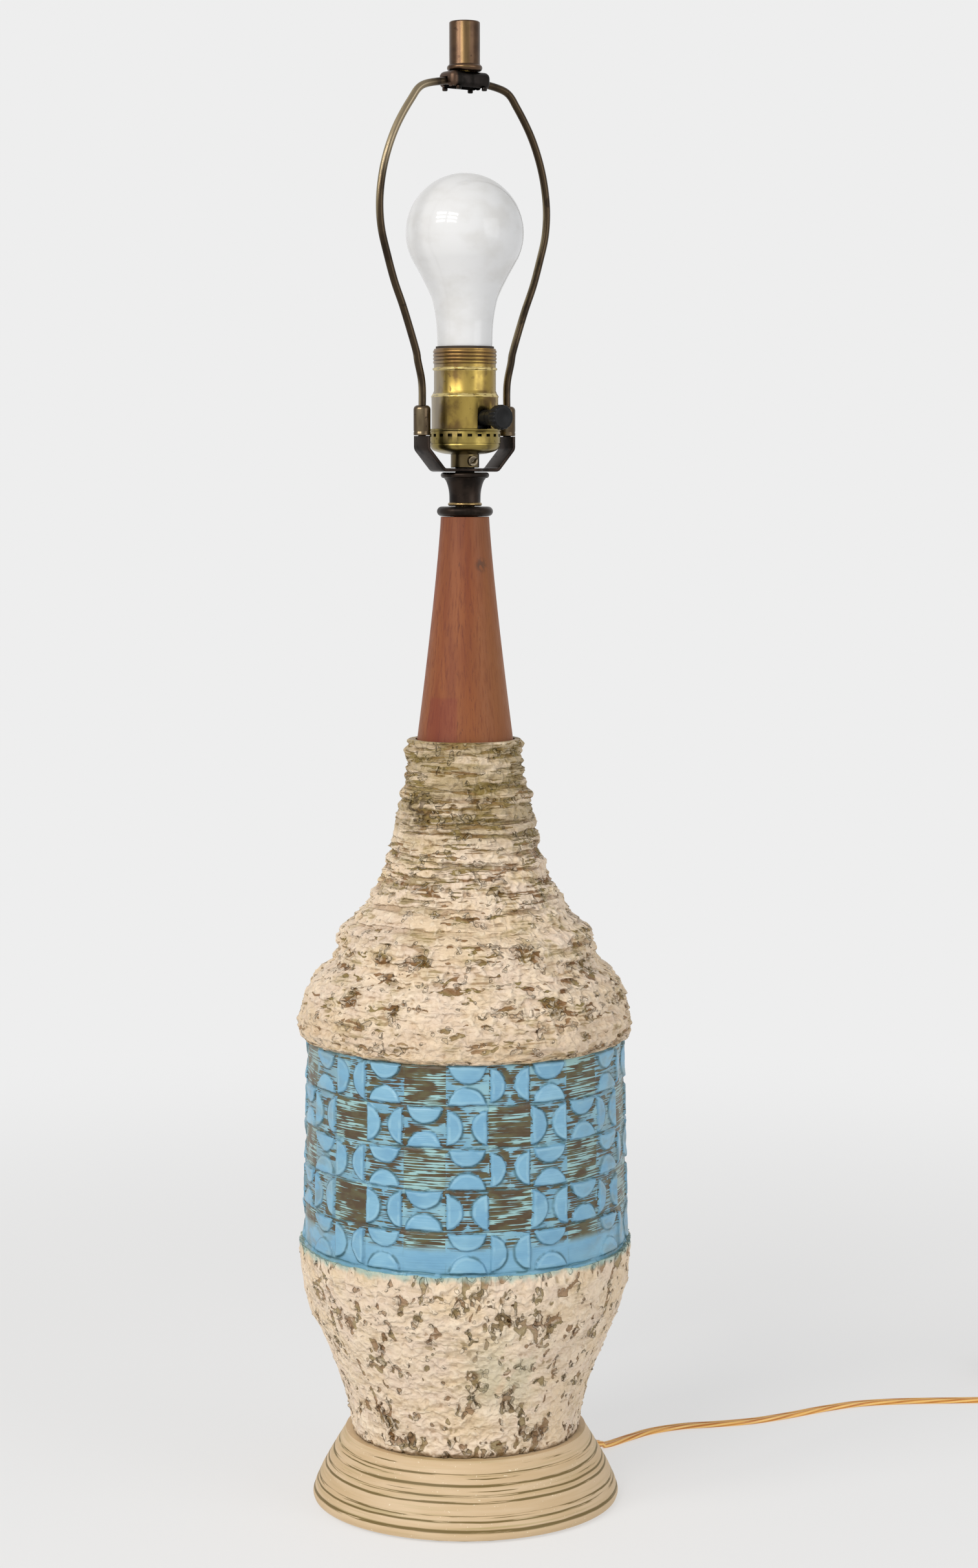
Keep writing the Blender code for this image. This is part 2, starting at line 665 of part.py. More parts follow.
def make_body(parts, finishes):
    """Hollow ceramic body: rough belt, recessed band, rough shoulder, and a lip round the neck's foot."""
    upper = share_outline(UPPER_OUTLINE_SHARES, BAND_TOP, BODY_UPPER_HEIGHT, BODY_LIP_RADIUS,
                          BODY_SHOULDER_RADIUS)
    band = [(BODY_BAND_TOP_RADIUS, BAND_TOP), (BODY_BAND_LOW_RADIUS, BAND_LOW)]
    lower = share_outline(LOWER_OUTLINE_SHARES, BODY_SEAT, BODY_LOWER_HEIGHT, BODY_FOOT_RADIUS,
                          BODY_BELT_RADIUS)
    foot_inner = BODY_FOOT_RADIUS - BODY_WALL
    band_inner = BODY_BAND_TOP_RADIUS - BODY_WALL
    neck_inner = BODY_LIP_RADIUS - BODY_WALL
    inner_lower = [(foot_inner, BODY_SEAT), (foot_inner, BODY_SEAT + BODY_WALL),
                   (band_inner, BAND_LOW - BODY_WALL), (band_inner, BAND_TOP)]
    inner_upper = share_outline(INNER_UPPER_SHARES[::-1], BAND_TOP, BODY_UPPER_HEIGHT, neck_inner, band_inner)
    floor = BODY_TOP - NECK_SOCKET_DEPTH
    ceiling = floor - BODY_WEB
    recess = NECK_FOOT_RADIUS + GAP
    inner_upper[-1] = (neck_inner, ceiling)
    top = [(ROD_HOLE_RADIUS, ceiling), (ROD_HOLE_RADIUS, floor), (recess, floor), (recess, BODY_TOP)]
    turned("ceramic_body", upper + band + lower + inner_lower + inner_upper + top, finishes["ceramic"], parts,
           sides=BODY_SIDES)


def make_neck(parts, finishes):
    """Wooden neck, check ring and turned spacer, threaded on the rod."""
    steps = 5
    outline = []
    for i in range(steps + 1):
        up = 1 - i / steps
        radius = NECK_TOP_RADIUS + (NECK_FOOT_RADIUS - NECK_TOP_RADIUS) * (1 - up) ** NECK_TAPER_POWER
        outline.append((radius, NECK_HEIGHT * up))
    outline += [(ROD_HOLE_RADIUS, 0), (ROD_HOLE_RADIUS, NECK_HEIGHT)]
    neck = turned("wood_neck", outline, finishes["wood"], parts, sides=BODY_SIDES)
    neck.location.z = NECK_SEAT

    half = RING_HEIGHT / 2
    edge = arc(RING_RADIUS - half, half, half, 90, -90, 5)
    ring = turned("check_ring", [(ROD_HOLE_RADIUS, RING_HEIGHT)] + edge + [(ROD_HOLE_RADIUS, 0)],
                  finishes["dark_metal"], parts)
    ring.location.z = RING_SEAT

    flange_half = SPACER_FLANGE_THICKNESS / 2
    bead_half = SPACER_BEAD_HEIGHT / 2
    cove_low = SPACER_BEAD_HEIGHT
    cove_height = SPACER_HEIGHT - SPACER_FLANGE_THICKNESS - SPACER_BEAD_HEIGHT
    flange = arc(SPACER_FLANGE_RADIUS - flange_half, SPACER_HEIGHT - flange_half, flange_half, 90, -90, 3)
    cove = share_outline(SPACER_COVE_SHARES, cove_low, cove_height, SPACER_WAIST_RADIUS, SPACER_FLANGE_RADIUS)
    bead = arc(SPACER_FOOT_RADIUS - bead_half, bead_half, bead_half, 90, -90, 3)
    spacer = turned("neck_spacer", [(ROD_HOLE_RADIUS, SPACER_HEIGHT)] + flange + cove + bead
                    + [(ROD_HOLE_RADIUS, 0)], finishes["dark_metal"], parts)
    spacer.location.z = SPACER_SEAT


def make_saddle(parts, cutters, finishes, harp_axis):
    """Bent strip under the socket, with a narrow tab at each end for the harp's sleeves."""
    middle = STRIP_THICKNESS / 2
    shoulder = SADDLE_RISE + SADDLE_UPRIGHT
    corners = [(-HARP_LEG_SPREAD, shoulder), (-HARP_LEG_SPREAD, SADDLE_RISE), (-SADDLE_HALF_FLAT, middle),
               (SADDLE_HALF_FLAT, middle), (HARP_LEG_SPREAD, SADDLE_RISE), (HARP_LEG_SPREAD, shoulder)]
    line = rounded_line(corners, STRIP_BEND, 3)
    saddle = flat_piece("harp_saddle", strip_outline(line, STRIP_THICKNESS), STRIP_WIDTH,
                        finishes["dark_metal"], parts, harp_axis)
    saddle.matrix_local = Matrix.Translation((0, 0, SADDLE_SEAT)) @ Matrix.Rotation(math.pi / 2, 4, "X")
    tab_overlap = SADDLE_UPRIGHT / 2
    for side, word in ((-1, "left"), (1, "right")):
        height = TAB_LENGTH + tab_overlap
        centre = (side * HARP_LEG_SPREAD, 0, TAB_TOP - height / 2)
        tab = block("tab_" + word, (TAB_THICKNESS, TAB_WIDTH, height), centre, None, cutters, harp_axis)
        combine(saddle, as_cutter(tab), "UNION")
    eye = cylinder("saddle_eye", SADDLE_EYE_RADIUS, SADDLE_EYE_THICKNESS, (0, 0, SADDLE_SEAT + middle),
                   None, cutters, harp_axis, sides=SMALL_SIDES)
    combine(saddle, as_cutter(eye), "UNION")
    hole = cylinder("saddle_hole", ROD_HOLE_RADIUS, STRIP_THICKNESS + OVERRUN,
                    (0, 0, SADDLE_SEAT + middle), None, cutters, harp_axis, sides=SMALL_SIDES)
    combine(saddle, as_cutter(hole), "DIFFERENCE")


def sleeve_inner_radius():
    """The sleeve slides over the tab's corners and over the wire."""
    tab_corner = math.hypot(TAB_WIDTH / 2, TAB_THICKNESS / 2)
    return max(tab_corner, HARP_WIRE_RADIUS) + RUN_GAP


def make_harp(parts, cutters, finishes, harp_axis):
    """Two bent wires, the channel that joins them, its stud, and a sleeve on each leg."""
    grip_end = (CHANNEL_LENGTH / 2) - CHANNEL_WIRE_GRIP
    for side, word in ((-1, "left"), (1, "right")):
        wire = [(HARP_LEG_SPREAD, 0, WIRE_FOOT), (HARP_LEG_SPREAD, 0, WIRE_FOOT + HARP_LEG_STRAIGHT)]
        wire += [(HARP_HALF_WIDTH * across, 0, WIRE_FOOT + HARP_HEIGHT * up)
                 for up, across in HARP_OUTLINE_SHARES]
        wire += [(CHANNEL_LENGTH / 2, 0, WIRE_TOP), (grip_end, 0, WIRE_TOP)]
        mirrored = [(side * x, y, z) for x, y, z in wire]
        tube("harp_wire_" + word, smooth_points(mirrored, 2), HARP_WIRE_RADIUS, finishes["antique_brass"],
             parts, harp_axis)

    channel_bottom = CHANNEL_TOP - CHANNEL_HEIGHT
    channel = block("harp_channel", (CHANNEL_LENGTH, CHANNEL_WIDTH, CHANNEL_HEIGHT),
                    (0, 0, CHANNEL_TOP - CHANNEL_HEIGHT / 2), finishes["black_metal"], parts, harp_axis)
    rounded(channel, CHANNEL_ROUNDING)
    hollow_height = CHANNEL_HEIGHT - CHANNEL_WALL
    hollow = block("channel_hollow", (CHANNEL_LENGTH - 2 * CHANNEL_WALL, CHANNEL_WIDTH - 2 * CHANNEL_WALL,
                                      hollow_height + OVERRUN),
                   (0, 0, channel_bottom + (hollow_height - OVERRUN) / 2), None, cutters, harp_axis)
    combine(channel, as_cutter(hollow), "DIFFERENCE")
    slot_width = 2 * (HARP_WIRE_RADIUS + GAP)
    slot_top = WIRE_TOP + HARP_WIRE_RADIUS + GAP
    slot_height = slot_top - channel_bottom + OVERRUN
    slot = block("channel_wire_slot", (CHANNEL_LENGTH + OVERRUN, slot_width, slot_height),
                 (0, 0, slot_top - slot_height / 2), None, cutters, harp_axis)
    combine(channel, as_cutter(slot), "DIFFERENCE")
    lug_place = CHANNEL_LENGTH / 2 - CHANNEL_ROUNDING - CRIMP_LUG_SIZE
    wall_middle = (CHANNEL_WIDTH - CHANNEL_WALL) / 2
    for x in (-lug_place, lug_place):
        for y in (-wall_middle, wall_middle):
            lug = block("crimp_lug", (CRIMP_LUG_SIZE, CHANNEL_WALL / 2, CRIMP_LUG_SIZE),
                        (x, y, channel_bottom), None, cutters, harp_axis)
            combine(channel, as_cutter(lug), "UNION")
    hole = cylinder("stud_hole", STUD_RADIUS + GAP, CHANNEL_WALL + OVERRUN, (0, 0, CHANNEL_TOP), None,
                    cutters)
    combine(channel, as_cutter(hole), "DIFFERENCE")

    head_top = CHANNEL_TOP - CHANNEL_WALL - GAP
    stud_top = CHANNEL_TOP + STUD_STANDOUT
    stud = [(0, stud_top), (STUD_RADIUS, stud_top), (STUD_RADIUS, head_top), (STUD_HEAD_RADIUS, head_top),
            (STUD_HEAD_RADIUS, head_top - STUD_HEAD_THICKNESS), (0, head_top - STUD_HEAD_THICKNESS)]
    turned("harp_stud", stud, finishes["brass"], parts, harp_axis, sides=TINY_SIDES, closed=False)

    inner = sleeve_inner_radius()
    outer = inner + SLEEVE_WALL
    mouth = HARP_WIRE_RADIUS + GAP
    ledge = SLEEVE_HEIGHT - SLEEVE_WALL
    shape = [(mouth, SLEEVE_HEIGHT)] + arc(outer - SLEEVE_WALL, ledge, SLEEVE_WALL, 90, 0, 2)
    shape += [(outer, 0), (inner, 0), (inner, ledge), (mouth, ledge)]
    for side, word in ((-1, "left"), (1, "right")):
        sleeve = turned("harp_sleeve_" + word, shape, finishes["antique_brass"], parts, harp_axis,
                        sides=TINY_SIDES)
        sleeve.location = (side * HARP_LEG_SPREAD, 0, SADDLE_SHOULDER + GAP)


def make_finial(parts, finishes, harp_axis):
    """Drawn brass finial, open below, with a core that screws on the stud."""
    bead_half = FINIAL_BEAD_HEIGHT / 2
    top_round = FINIAL_WALL
    inner = FINIAL_RADIUS - FINIAL_WALL
    bore = STUD_RADIUS + GAP
    core_low = FINIAL_BEAD_HEIGHT
    bore_top = STUD_STANDOUT + FINIAL_WALL
    ceiling = FINIAL_HEIGHT - FINIAL_WALL
    outline = [(0, FINIAL_HEIGHT)]
    outline += arc(FINIAL_RADIUS - top_round, FINIAL_HEIGHT - top_round, top_round, 90, 0, 2)
    outline += [(FINIAL_RADIUS, FINIAL_BEAD_HEIGHT)]
    outline += arc(FINIAL_BEAD_RADIUS - bead_half, bead_half, bead_half, 60, -90, 3)
    outline += [(inner, 0), (inner, ceiling), (FINIAL_CORE_RADIUS, ceiling), (FINIAL_CORE_RADIUS, core_low),
                (bore, core_low), (bore, bore_top), (0, bore_top)]
    finial = turned("finial", outline, finishes["aged_brass"], parts, harp_axis, sides=SMALL_SIDES,
                    closed=False)
    finial.location.z = FINIAL_SEAT


def make_socket(parts, cutters, finishes, socket_axis):
    """Brass lamp socket: cap with its hub, beaded shell, liner, moulded core and screw shell."""
    hub_bore = ROD_RADIUS + GAP
    band_low = CAP_HEIGHT - CAP_BAND_HEIGHT
    dish = share_outline(CAP_DISH_SHARES, HUB_HEIGHT, band_low - HUB_HEIGHT, HUB_RADIUS, CAP_OUTER)
    dish_inner = [(radius - BRASS_SHEET, height + BRASS_SHEET) for radius, height in dish[::-1]]
    dish_inner[-1] = (CAP_INNER, band_low + BRASS_SHEET)
    bead_radius = CAP_OUTER + BRASS_SHEET / 2
    cap_outline = [(CAP_INNER, CAP_HEIGHT), (bead_radius, CAP_HEIGHT),
                   (bead_radius, CAP_HEIGHT - 2 * BRASS_SHEET), (CAP_OUTER, CAP_HEIGHT - 3 * BRASS_SHEET)]
    cap_outline += dish + [(HUB_RADIUS, 0), (hub_bore, 0), (hub_bore, HUB_HEIGHT + BRASS_SHEET)] + dish_inner
    cap = turned("socket_cap", cap_outline, finishes["bright_brass"], parts, socket_axis,
                 sides=2 * CAP_SLOT_COUNT)
    slot_height = CAP_HEIGHT - CAP_BAND_HEIGHT / 2 + BRASS_SHEET
    for i in range(CAP_SLOT_COUNT):
        turn = math.tau * (i + CAP_SLOT_START_SHARE) / CAP_SLOT_COUNT
        slot = block("cap_slot", (CAP_SLOT_WIDTH, OVERRUN, CAP_SLOT_HEIGHT), (0, 0, 0), None, cutters,
                     socket_axis)
        slot.matrix_local = Matrix.Rotation(turn, 4, "Z") @ Matrix.Translation((0, -CAP_OUTER, slot_height))
        combine(cap, as_cutter(slot), "DIFFERENCE")

    screw_way = Vector((math.sin(SET_SCREW_TURN), -math.cos(SET_SCREW_TURN), 0))
    screw_height = Vector((0, 0, HUB_HEIGHT / 2))
    hole = cylinder("set_screw_hole", SET_SCREW_RADIUS + GAP, HUB_RADIUS,
                    screw_way * HUB_RADIUS + screw_height, None, cutters, socket_axis)
    lay_along(hole, screw_way)
    combine(cap, as_cutter(hole), "DIFFERENCE")
    shank = HUB_RADIUS - hub_bore + GAP
    screw = [(0, SET_SCREW_HEAD_LENGTH), (SET_SCREW_HEAD_RADIUS, SET_SCREW_HEAD_LENGTH),
             (SET_SCREW_HEAD_RADIUS, 0), (SET_SCREW_RADIUS, 0), (SET_SCREW_RADIUS, -shank), (0, -shank)]
    screw = turned("socket_set_screw", screw, finishes["steel"], parts, socket_axis, sides=TINY_SIDES,
                   closed=False)
    screw.location = screw_way * (HUB_RADIUS + GAP) + screw_height
    lay_along(screw, screw_way)
    slot = block("set_screw_slot", (SET_SCREW_SLOT, OVERRUN * 2, SET_SCREW_HEAD_LENGTH),
                 screw_way * (HUB_RADIUS + GAP + SET_SCREW_HEAD_LENGTH) + screw_height, None, cutters,
                 socket_axis)
    lay_along(slot, screw_way)
    combine(screw, as_cutter(slot), "DIFFERENCE")

    make_shell(parts, cutters, finishes, socket_axis)
    make_core(parts, cutters, finishes, socket_axis)


def shell_profile():
    """The shell's outer outline, top to bottom."""
    shoulder = SHELL_BOTTOM + (SHELL_TOP - SHELL_BOTTOM) * SHELL_SHOULDER_SHARE
    step = SHELL_STEP * 2
    rings = SHELL_TOP - (SHELL_TOP - SHELL_BOTTOM) * SHELL_RING_SHARE
    points = [(SHELL_OUTER, SHELL_TOP)]
    pitch = SHELL_BEAD * 2
    for i in range(SHELL_RING_COUNT):
        height = rings - pitch * i
        points += [(SHELL_OUTER, height + pitch / 2), (SHELL_OUTER + SHELL_BEAD / 2, height)]
    bead = rings - pitch * SHELL_RING_COUNT
    points += [(SHELL_OUTER, bead + pitch / 2), (SHELL_OUTER + SHELL_BEAD, bead),
               (SHELL_OUTER, bead - pitch / 2)]
    points += [(SHELL_OUTER, shoulder + step), (SHELL_OUTER + SHELL_STEP / 2, shoulder + step / 3),
               (SHELL_LOW_OUTER, shoulder - step / 2), (SHELL_LOW_OUTER, SHELL_BOTTOM)]
    return points


def make_shell(parts, cutters, finishes, socket_axis):
    """Outer shell with rolled rings, a bead, a shoulder and the notch for the switch, and its liner."""
    inner_low = SHELL_LOW_OUTER - BRASS_SHEET
    shoulder = SHELL_BOTTOM + (SHELL_TOP - SHELL_BOTTOM) * SHELL_SHOULDER_SHARE
    inner = [(inner_low, SHELL_BOTTOM), (inner_low, shoulder - SHELL_STEP), (SHELL_INNER, shoulder),
             (SHELL_INNER, SHELL_TOP)]
    shell = turned("socket_shell", shell_profile() + inner, finishes["bright_brass"], parts, socket_axis,
                   sides=SHELL_SIDES)
    liner_low = CORE_BOTTOM
    liner_top = SHELL_TOP + LINER_STANDOUT
    liner = [(LINER_INNER, liner_top), (LINER_OUTER, liner_top), (LINER_OUTER, liner_low),
             (LINER_INNER, liner_low)]
    liner = turned("socket_liner", liner, finishes["card"], parts, socket_axis, sides=SHELL_SIDES)

    notch_half = SWITCH_BOSS_RADIUS + GAP
    reach = SHELL_LOW_OUTER * 2
    arch = cylinder("switch_notch_arch", notch_half, reach, (0, -SHELL_LOW_OUTER, SWITCH_HEIGHT), None,
                    cutters, socket_axis, sides=24)
    lay_along(arch, (0, -1, 0))
    foot_height = SWITCH_HEIGHT - SHELL_BOTTOM + OVERRUN
    foot = block("switch_notch_foot", (2 * notch_half, reach, foot_height),
                 (0, -SHELL_LOW_OUTER, SWITCH_HEIGHT - foot_height / 2), None, cutters, socket_axis)
    for item in (shell, liner):
        for cutter in (arch, foot):
            combine(item, as_cutter(cutter), "DIFFERENCE")


def make_core(parts, cutters, finishes, socket_axis):
    """Moulded core with the switch boss, the screw shell, the contact leaf and the terminal screws."""
    flange_radius = SCREW_SHELL_OUTER
    flange_low = CORE_TOP - CORE_FLANGE_HEIGHT
    outline = [(0, CORE_TOP), (flange_radius, CORE_TOP), (flange_radius, flange_low),
               (CORE_RADIUS, flange_low), (CORE_RADIUS, CORE_BOTTOM), (0, CORE_BOTTOM)]
    core = turned("socket_core", outline, finishes["phenolic"], parts, socket_axis, closed=False)
    boss_start = CORE_RADIUS / 2
    boss = cylinder("switch_boss", SWITCH_BOSS_RADIUS, SWITCH_BOSS_REACH - boss_start,
                    (0, -(SWITCH_BOSS_REACH + boss_start) / 2, SWITCH_HEIGHT), None, cutters, socket_axis,
                    sides=24)
    lay_along(boss, (0, -1, 0))
    combine(core, as_cutter(boss), "UNION")
    bore_length = SWITCH_BOSS_REACH
    bore = cylinder("switch_bore", SWITCH_STEM_RADIUS + RUN_GAP, bore_length,
                    (0, -(SWITCH_STEM_START - GAP + bore_length / 2), SWITCH_HEIGHT), None, cutters,
                    socket_axis)
    lay_along(bore, (0, -1, 0))
    combine(core, as_cutter(bore), "DIFFERENCE")

    inner_low = SCREW_SHELL_INNER - SCREW_SHELL_WALL * 3
    screw_top = BULB_CAP_TOP - RUN_GAP
    seat = CORE_TOP + GAP
    floor = seat + SCREW_SHELL_WALL
    cup = [(SCREW_SHELL_INNER, screw_top), (SCREW_SHELL_OUTER, screw_top), (SCREW_SHELL_OUTER, seat),
           (inner_low, seat), (inner_low, floor), (SCREW_SHELL_INNER, floor)]
    turned("socket_screw_shell", cup, finishes["brass"], parts, socket_axis)

    block("socket_contact_leaf", (CONTACT_LEAF_LENGTH, CONTACT_LEAF_WIDTH, CONTACT_LEAF_THICKNESS),
          (0, 0, seat + CONTACT_LEAF_THICKNESS / 2), finishes["brass"], parts, socket_axis)

    height = CORE_BOTTOM + TERMINAL_HEIGHT
    seat_radius = CORE_RADIUS + GAP
    shape = [(0, TERMINAL_HEAD_THICKNESS), (TERMINAL_HEAD_RADIUS, TERMINAL_HEAD_THICKNESS),
             (TERMINAL_HEAD_RADIUS, 0), (TERMINAL_SHANK_RADIUS, 0),
             (TERMINAL_SHANK_RADIUS, -TERMINAL_SHANK_LENGTH), (0, -TERMINAL_SHANK_LENGTH)]
    for side, name, finish in ((-1, "terminal_screw_brass", "brass"), (1, "terminal_screw_silver", "steel")):
        hole = cylinder(name + "_hole", TERMINAL_SHANK_RADIUS + GAP, CORE_RADIUS,
                        (side * CORE_RADIUS, 0, height), None, cutters, socket_axis)
        lay_along(hole, (side, 0, 0))
        combine(core, as_cutter(hole), "DIFFERENCE")
        screw = turned(name, shape, finishes[finish], parts, socket_axis, sides=TINY_SIDES, closed=False)
        screw.location = (side * seat_radius, 0, height)
        lay_along(screw, (side, 0, 0))


def make_switch(parts, finishes, socket_axis):
    """Stem and turn knob, on the switch's own axis across the socket."""
    outward = (0, -1, 0)
    bore = SWITCH_STEM_RADIUS + GAP
    knob_back = SWITCH_KNOB_REACH - SWITCH_KNOB_THICKNESS
    hub_start = SWITCH_BOSS_REACH + RUN_GAP
    stem_end = SWITCH_KNOB_REACH - SWITCH_KNOB_THICKNESS / 2
    rounding = SWITCH_KNOB_ROUNDING
    stem = [(0, stem_end), (SWITCH_STEM_RADIUS, stem_end), (SWITCH_STEM_RADIUS, SWITCH_STEM_START),
            (0, SWITCH_STEM_START)]
    stem = turned("switch_stem", stem, finishes["brass"], parts, socket_axis, sides=TINY_SIDES, closed=False)
    face_round = arc(SWITCH_KNOB_RADIUS - rounding, SWITCH_KNOB_REACH - rounding, rounding, 90, 0, 2)
    knob = [(0, SWITCH_KNOB_REACH)] + face_round
    knob += [(SWITCH_KNOB_RADIUS, knob_back + rounding), (SWITCH_KNOB_RADIUS - rounding, knob_back),
             (SWITCH_BOSS_RADIUS, knob_back), (SWITCH_BOSS_RADIUS, hub_start), (bore, hub_start),
             (bore, stem_end + GAP), (0, stem_end + GAP)]
    knob = turned("switch_knob", knob, finishes["phenolic"], parts, socket_axis, closed=False)
    for item in (stem, knob):
        item.location.z = SWITCH_HEIGHT
        lay_along(item, outward)


def make_bulb(parts, finishes, socket_axis):
    """Coated bulb: glass, stem, filament, screw cap, insulator and contact."""
    contact_top = BULB_CONTACT_LOW + BULB_CONTACT_HEIGHT
    neck_foot = BULB_CAP_TOP + GAP
    neck_radius = BULB_CAP_RADIUS + BULB_NECK_STEP
    glass_top = neck_foot + BULB_GLASS_HEIGHT
    centre = glass_top - BULB_RADIUS

    contact = [(0, contact_top), (BULB_CONTACT_RADIUS, contact_top),
               (BULB_CONTACT_RADIUS, contact_top - BULB_CONTACT_HEIGHT / 2),
               (BULB_CONTACT_RADIUS / 2, BULB_CONTACT_LOW), (0, BULB_CONTACT_LOW)]
    turned("bulb_contact", contact, finishes["solder"], parts, socket_axis, sides=TINY_SIDES, closed=False)
    insulator = [(0, BULB_CAP_LOW - GAP), (BULB_CAP_RADIUS - BULB_CAP_WALL * 3, BULB_CAP_LOW - GAP),
                 (BULB_CONTACT_RADIUS + BULB_CAP_WALL, BULB_INSULATOR_LOW), (0, BULB_INSULATOR_LOW)]
    turned("bulb_insulator", insulator, finishes["phenolic"], parts, socket_axis, sides=BULB_SIDES,
           closed=False)
    inner = BULB_CAP_RADIUS - BULB_CAP_WALL
    floor = inner - BULB_CAP_WALL * 2
    cap = [(inner, BULB_CAP_TOP), (BULB_CAP_RADIUS, BULB_CAP_TOP),
           (BULB_CAP_RADIUS, BULB_CAP_LOW + BULB_CAP_WALL * 3), (floor, BULB_CAP_LOW),
           (floor - BULB_CAP_WALL, BULB_CAP_LOW + BULB_CAP_WALL), (inner, BULB_CAP_LOW + BULB_CAP_WALL * 4)]
    turned("bulb_screw_cap", cap, finishes["aluminium"], parts, socket_axis, sides=BULB_SIDES)

    ball_end = math.degrees(math.asin(BULB_BALL_END_SHARE))
    ball = arc(0, centre, BULB_RADIUS, 90, -ball_end, 8)
    ball[0] = (0, glass_top)
    ball_foot_radius, ball_foot = ball[-1]
    neck = share_outline(BULB_NECK_SHARES, neck_foot, ball_foot - neck_foot, neck_radius, ball_foot_radius)
    inner_ball = arc(0, centre, BULB_RADIUS - BULB_GLASS_WALL, 90, -ball_end, 5)
    inner_ball[0] = (0, glass_top - BULB_GLASS_WALL)
    inner_neck = [(radius - BULB_GLASS_WALL, height) for radius, height in neck]
    tail_radius = inner - GAP
    tail_low = BULB_CAP_TOP - BULB_CAP_GRIP
    neck[-1] = (neck_radius, neck_foot + GAP)
    tail = [(tail_radius, neck_foot + GAP / 2), (tail_radius, tail_low),
            (tail_radius - BULB_GLASS_WALL, tail_low)]
    outline = ball + neck + tail + inner_neck[::-1][1:] + inner_ball[::-1]
    turned("bulb_glass", outline, finishes["bulb_glass"], parts, socket_axis, sides=BULB_SIDES, closed=False)

    flare = tail_radius - BULB_GLASS_WALL - GAP
    stem_top = tail_low + BULB_STEM_HEIGHT
    shoulder = tail_low + BULB_GLASS_WALL * 2
    stem = [(0, stem_top), (BULB_STEM_RADIUS, stem_top), (BULB_STEM_RADIUS, shoulder + BULB_CAP_GRIP),
            (flare, shoulder), (flare, tail_low), (0, tail_low)]
    turned("bulb_stem", stem, finishes["clear_glass"], parts, socket_axis, sides=TINY_SIDES, closed=False)
    foot = stem_top + GAP
    top = foot + FILAMENT_RISE
    half = FILAMENT_HALF_SPAN
    inner_half = BULB_STEM_RADIUS - FILAMENT_RADIUS * 2
    wire = [(-inner_half, 0, foot), (-half, 0, top), (-half / 2, 0, top - half / 4), (0, 0, top),
            (half / 2, 0, top - half / 4), (half, 0, top), (inner_half, 0, foot)]
    tube("bulb_filament", wire, FILAMENT_RADIUS, finishes["steel"], parts, socket_axis, resolution=1)


def make_inner_lead(parts, finishes):
    """The cord where the lamp holds it: through the grommet, under the foot and up the rod."""
    start_radius = cord_exit_radius()
    bend = ROD_BOTTOM - FOOT_SEAT - CORD_RADIUS - GAP
    low = ROD_BOTTOM - bend
    steps = 5
    line = [(start_radius, CORD_EXIT_HEIGHT), (start_radius - FOOT_WALL * 2, CORD_EXIT_HEIGHT)]
    start = line[-1][0]
    line += [((start + bend) / 2, (CORD_EXIT_HEIGHT + low) / 2)]
    turns = [math.pi / 2 * i / steps for i in range(steps + 1)]
    line += [(bend - bend * math.sin(turn), ROD_BOTTOM - bend * math.cos(turn)) for turn in turns]
    line += [(0, SOCKET_SEAT + CORE_BOTTOM - CORD_RADIUS)]
    across = Vector((math.cos(CORD_EXIT_TURN), math.sin(CORD_EXIT_TURN), 0))
    points = [across * radius + Vector((0, 0, height)) for radius, height in line]
    tube("cord_inner", points, CORD_RADIUS, finishes["cord"], parts)


def way_round(turn):
    """Heading of a line that runs round a centre, at one turn about it."""
    return Vector((-math.sin(turn), math.cos(turn), 0))


def coil_points(centre, start_turn, low):
    """Centre line of the coil: it spirals in on the first layer, climbs, and spirals out on the second.

    Each end runs straight for one cord width, square to the stretch that it meets.
    """
    pitch = CORD_WIDTH + CORD_TURN_SPACE
    outer = COIL_INNER_RADIUS + COIL_TURNS_IN * pitch
    total = COIL_TURNS_IN + COIL_TURNS_OUT
    count = round(total * COIL_STEPS)
    points = []
    for i in range(count + 1):
        turns = total * i / count
        inward = min(turns, COIL_TURNS_IN)
        outward = max(turns - COIL_TURNS_IN, 0)
        radius = outer - pitch * inward + pitch * outward
        climb = min(max((turns - COIL_TURNS_IN) / COIL_CLIMB_TURNS + 1 / 2, 0), 1)
        eased = climb * climb * (3 - 2 * climb)
        turn = start_turn + math.tau * turns
        points.append(Vector((centre[0] + radius * math.cos(turn), centre[1] + radius * math.sin(turn),
                              low + pitch * eased)))
    points.insert(0, points[0] - way_round(start_turn) * CORD_WIDTH)
    points.append(points[-1] + way_round(start_turn + math.tau * total) * CORD_WIDTH)
    return points


def least_gap(points, radius, skip):
    """The least clear distance between stretches of one tube that are not neighbours."""
    least = math.inf
    for i, first in enumerate(points):
        for second in points[i + skip:]:
            least = min(least, (first - second).length)
    return least - 2 * radius


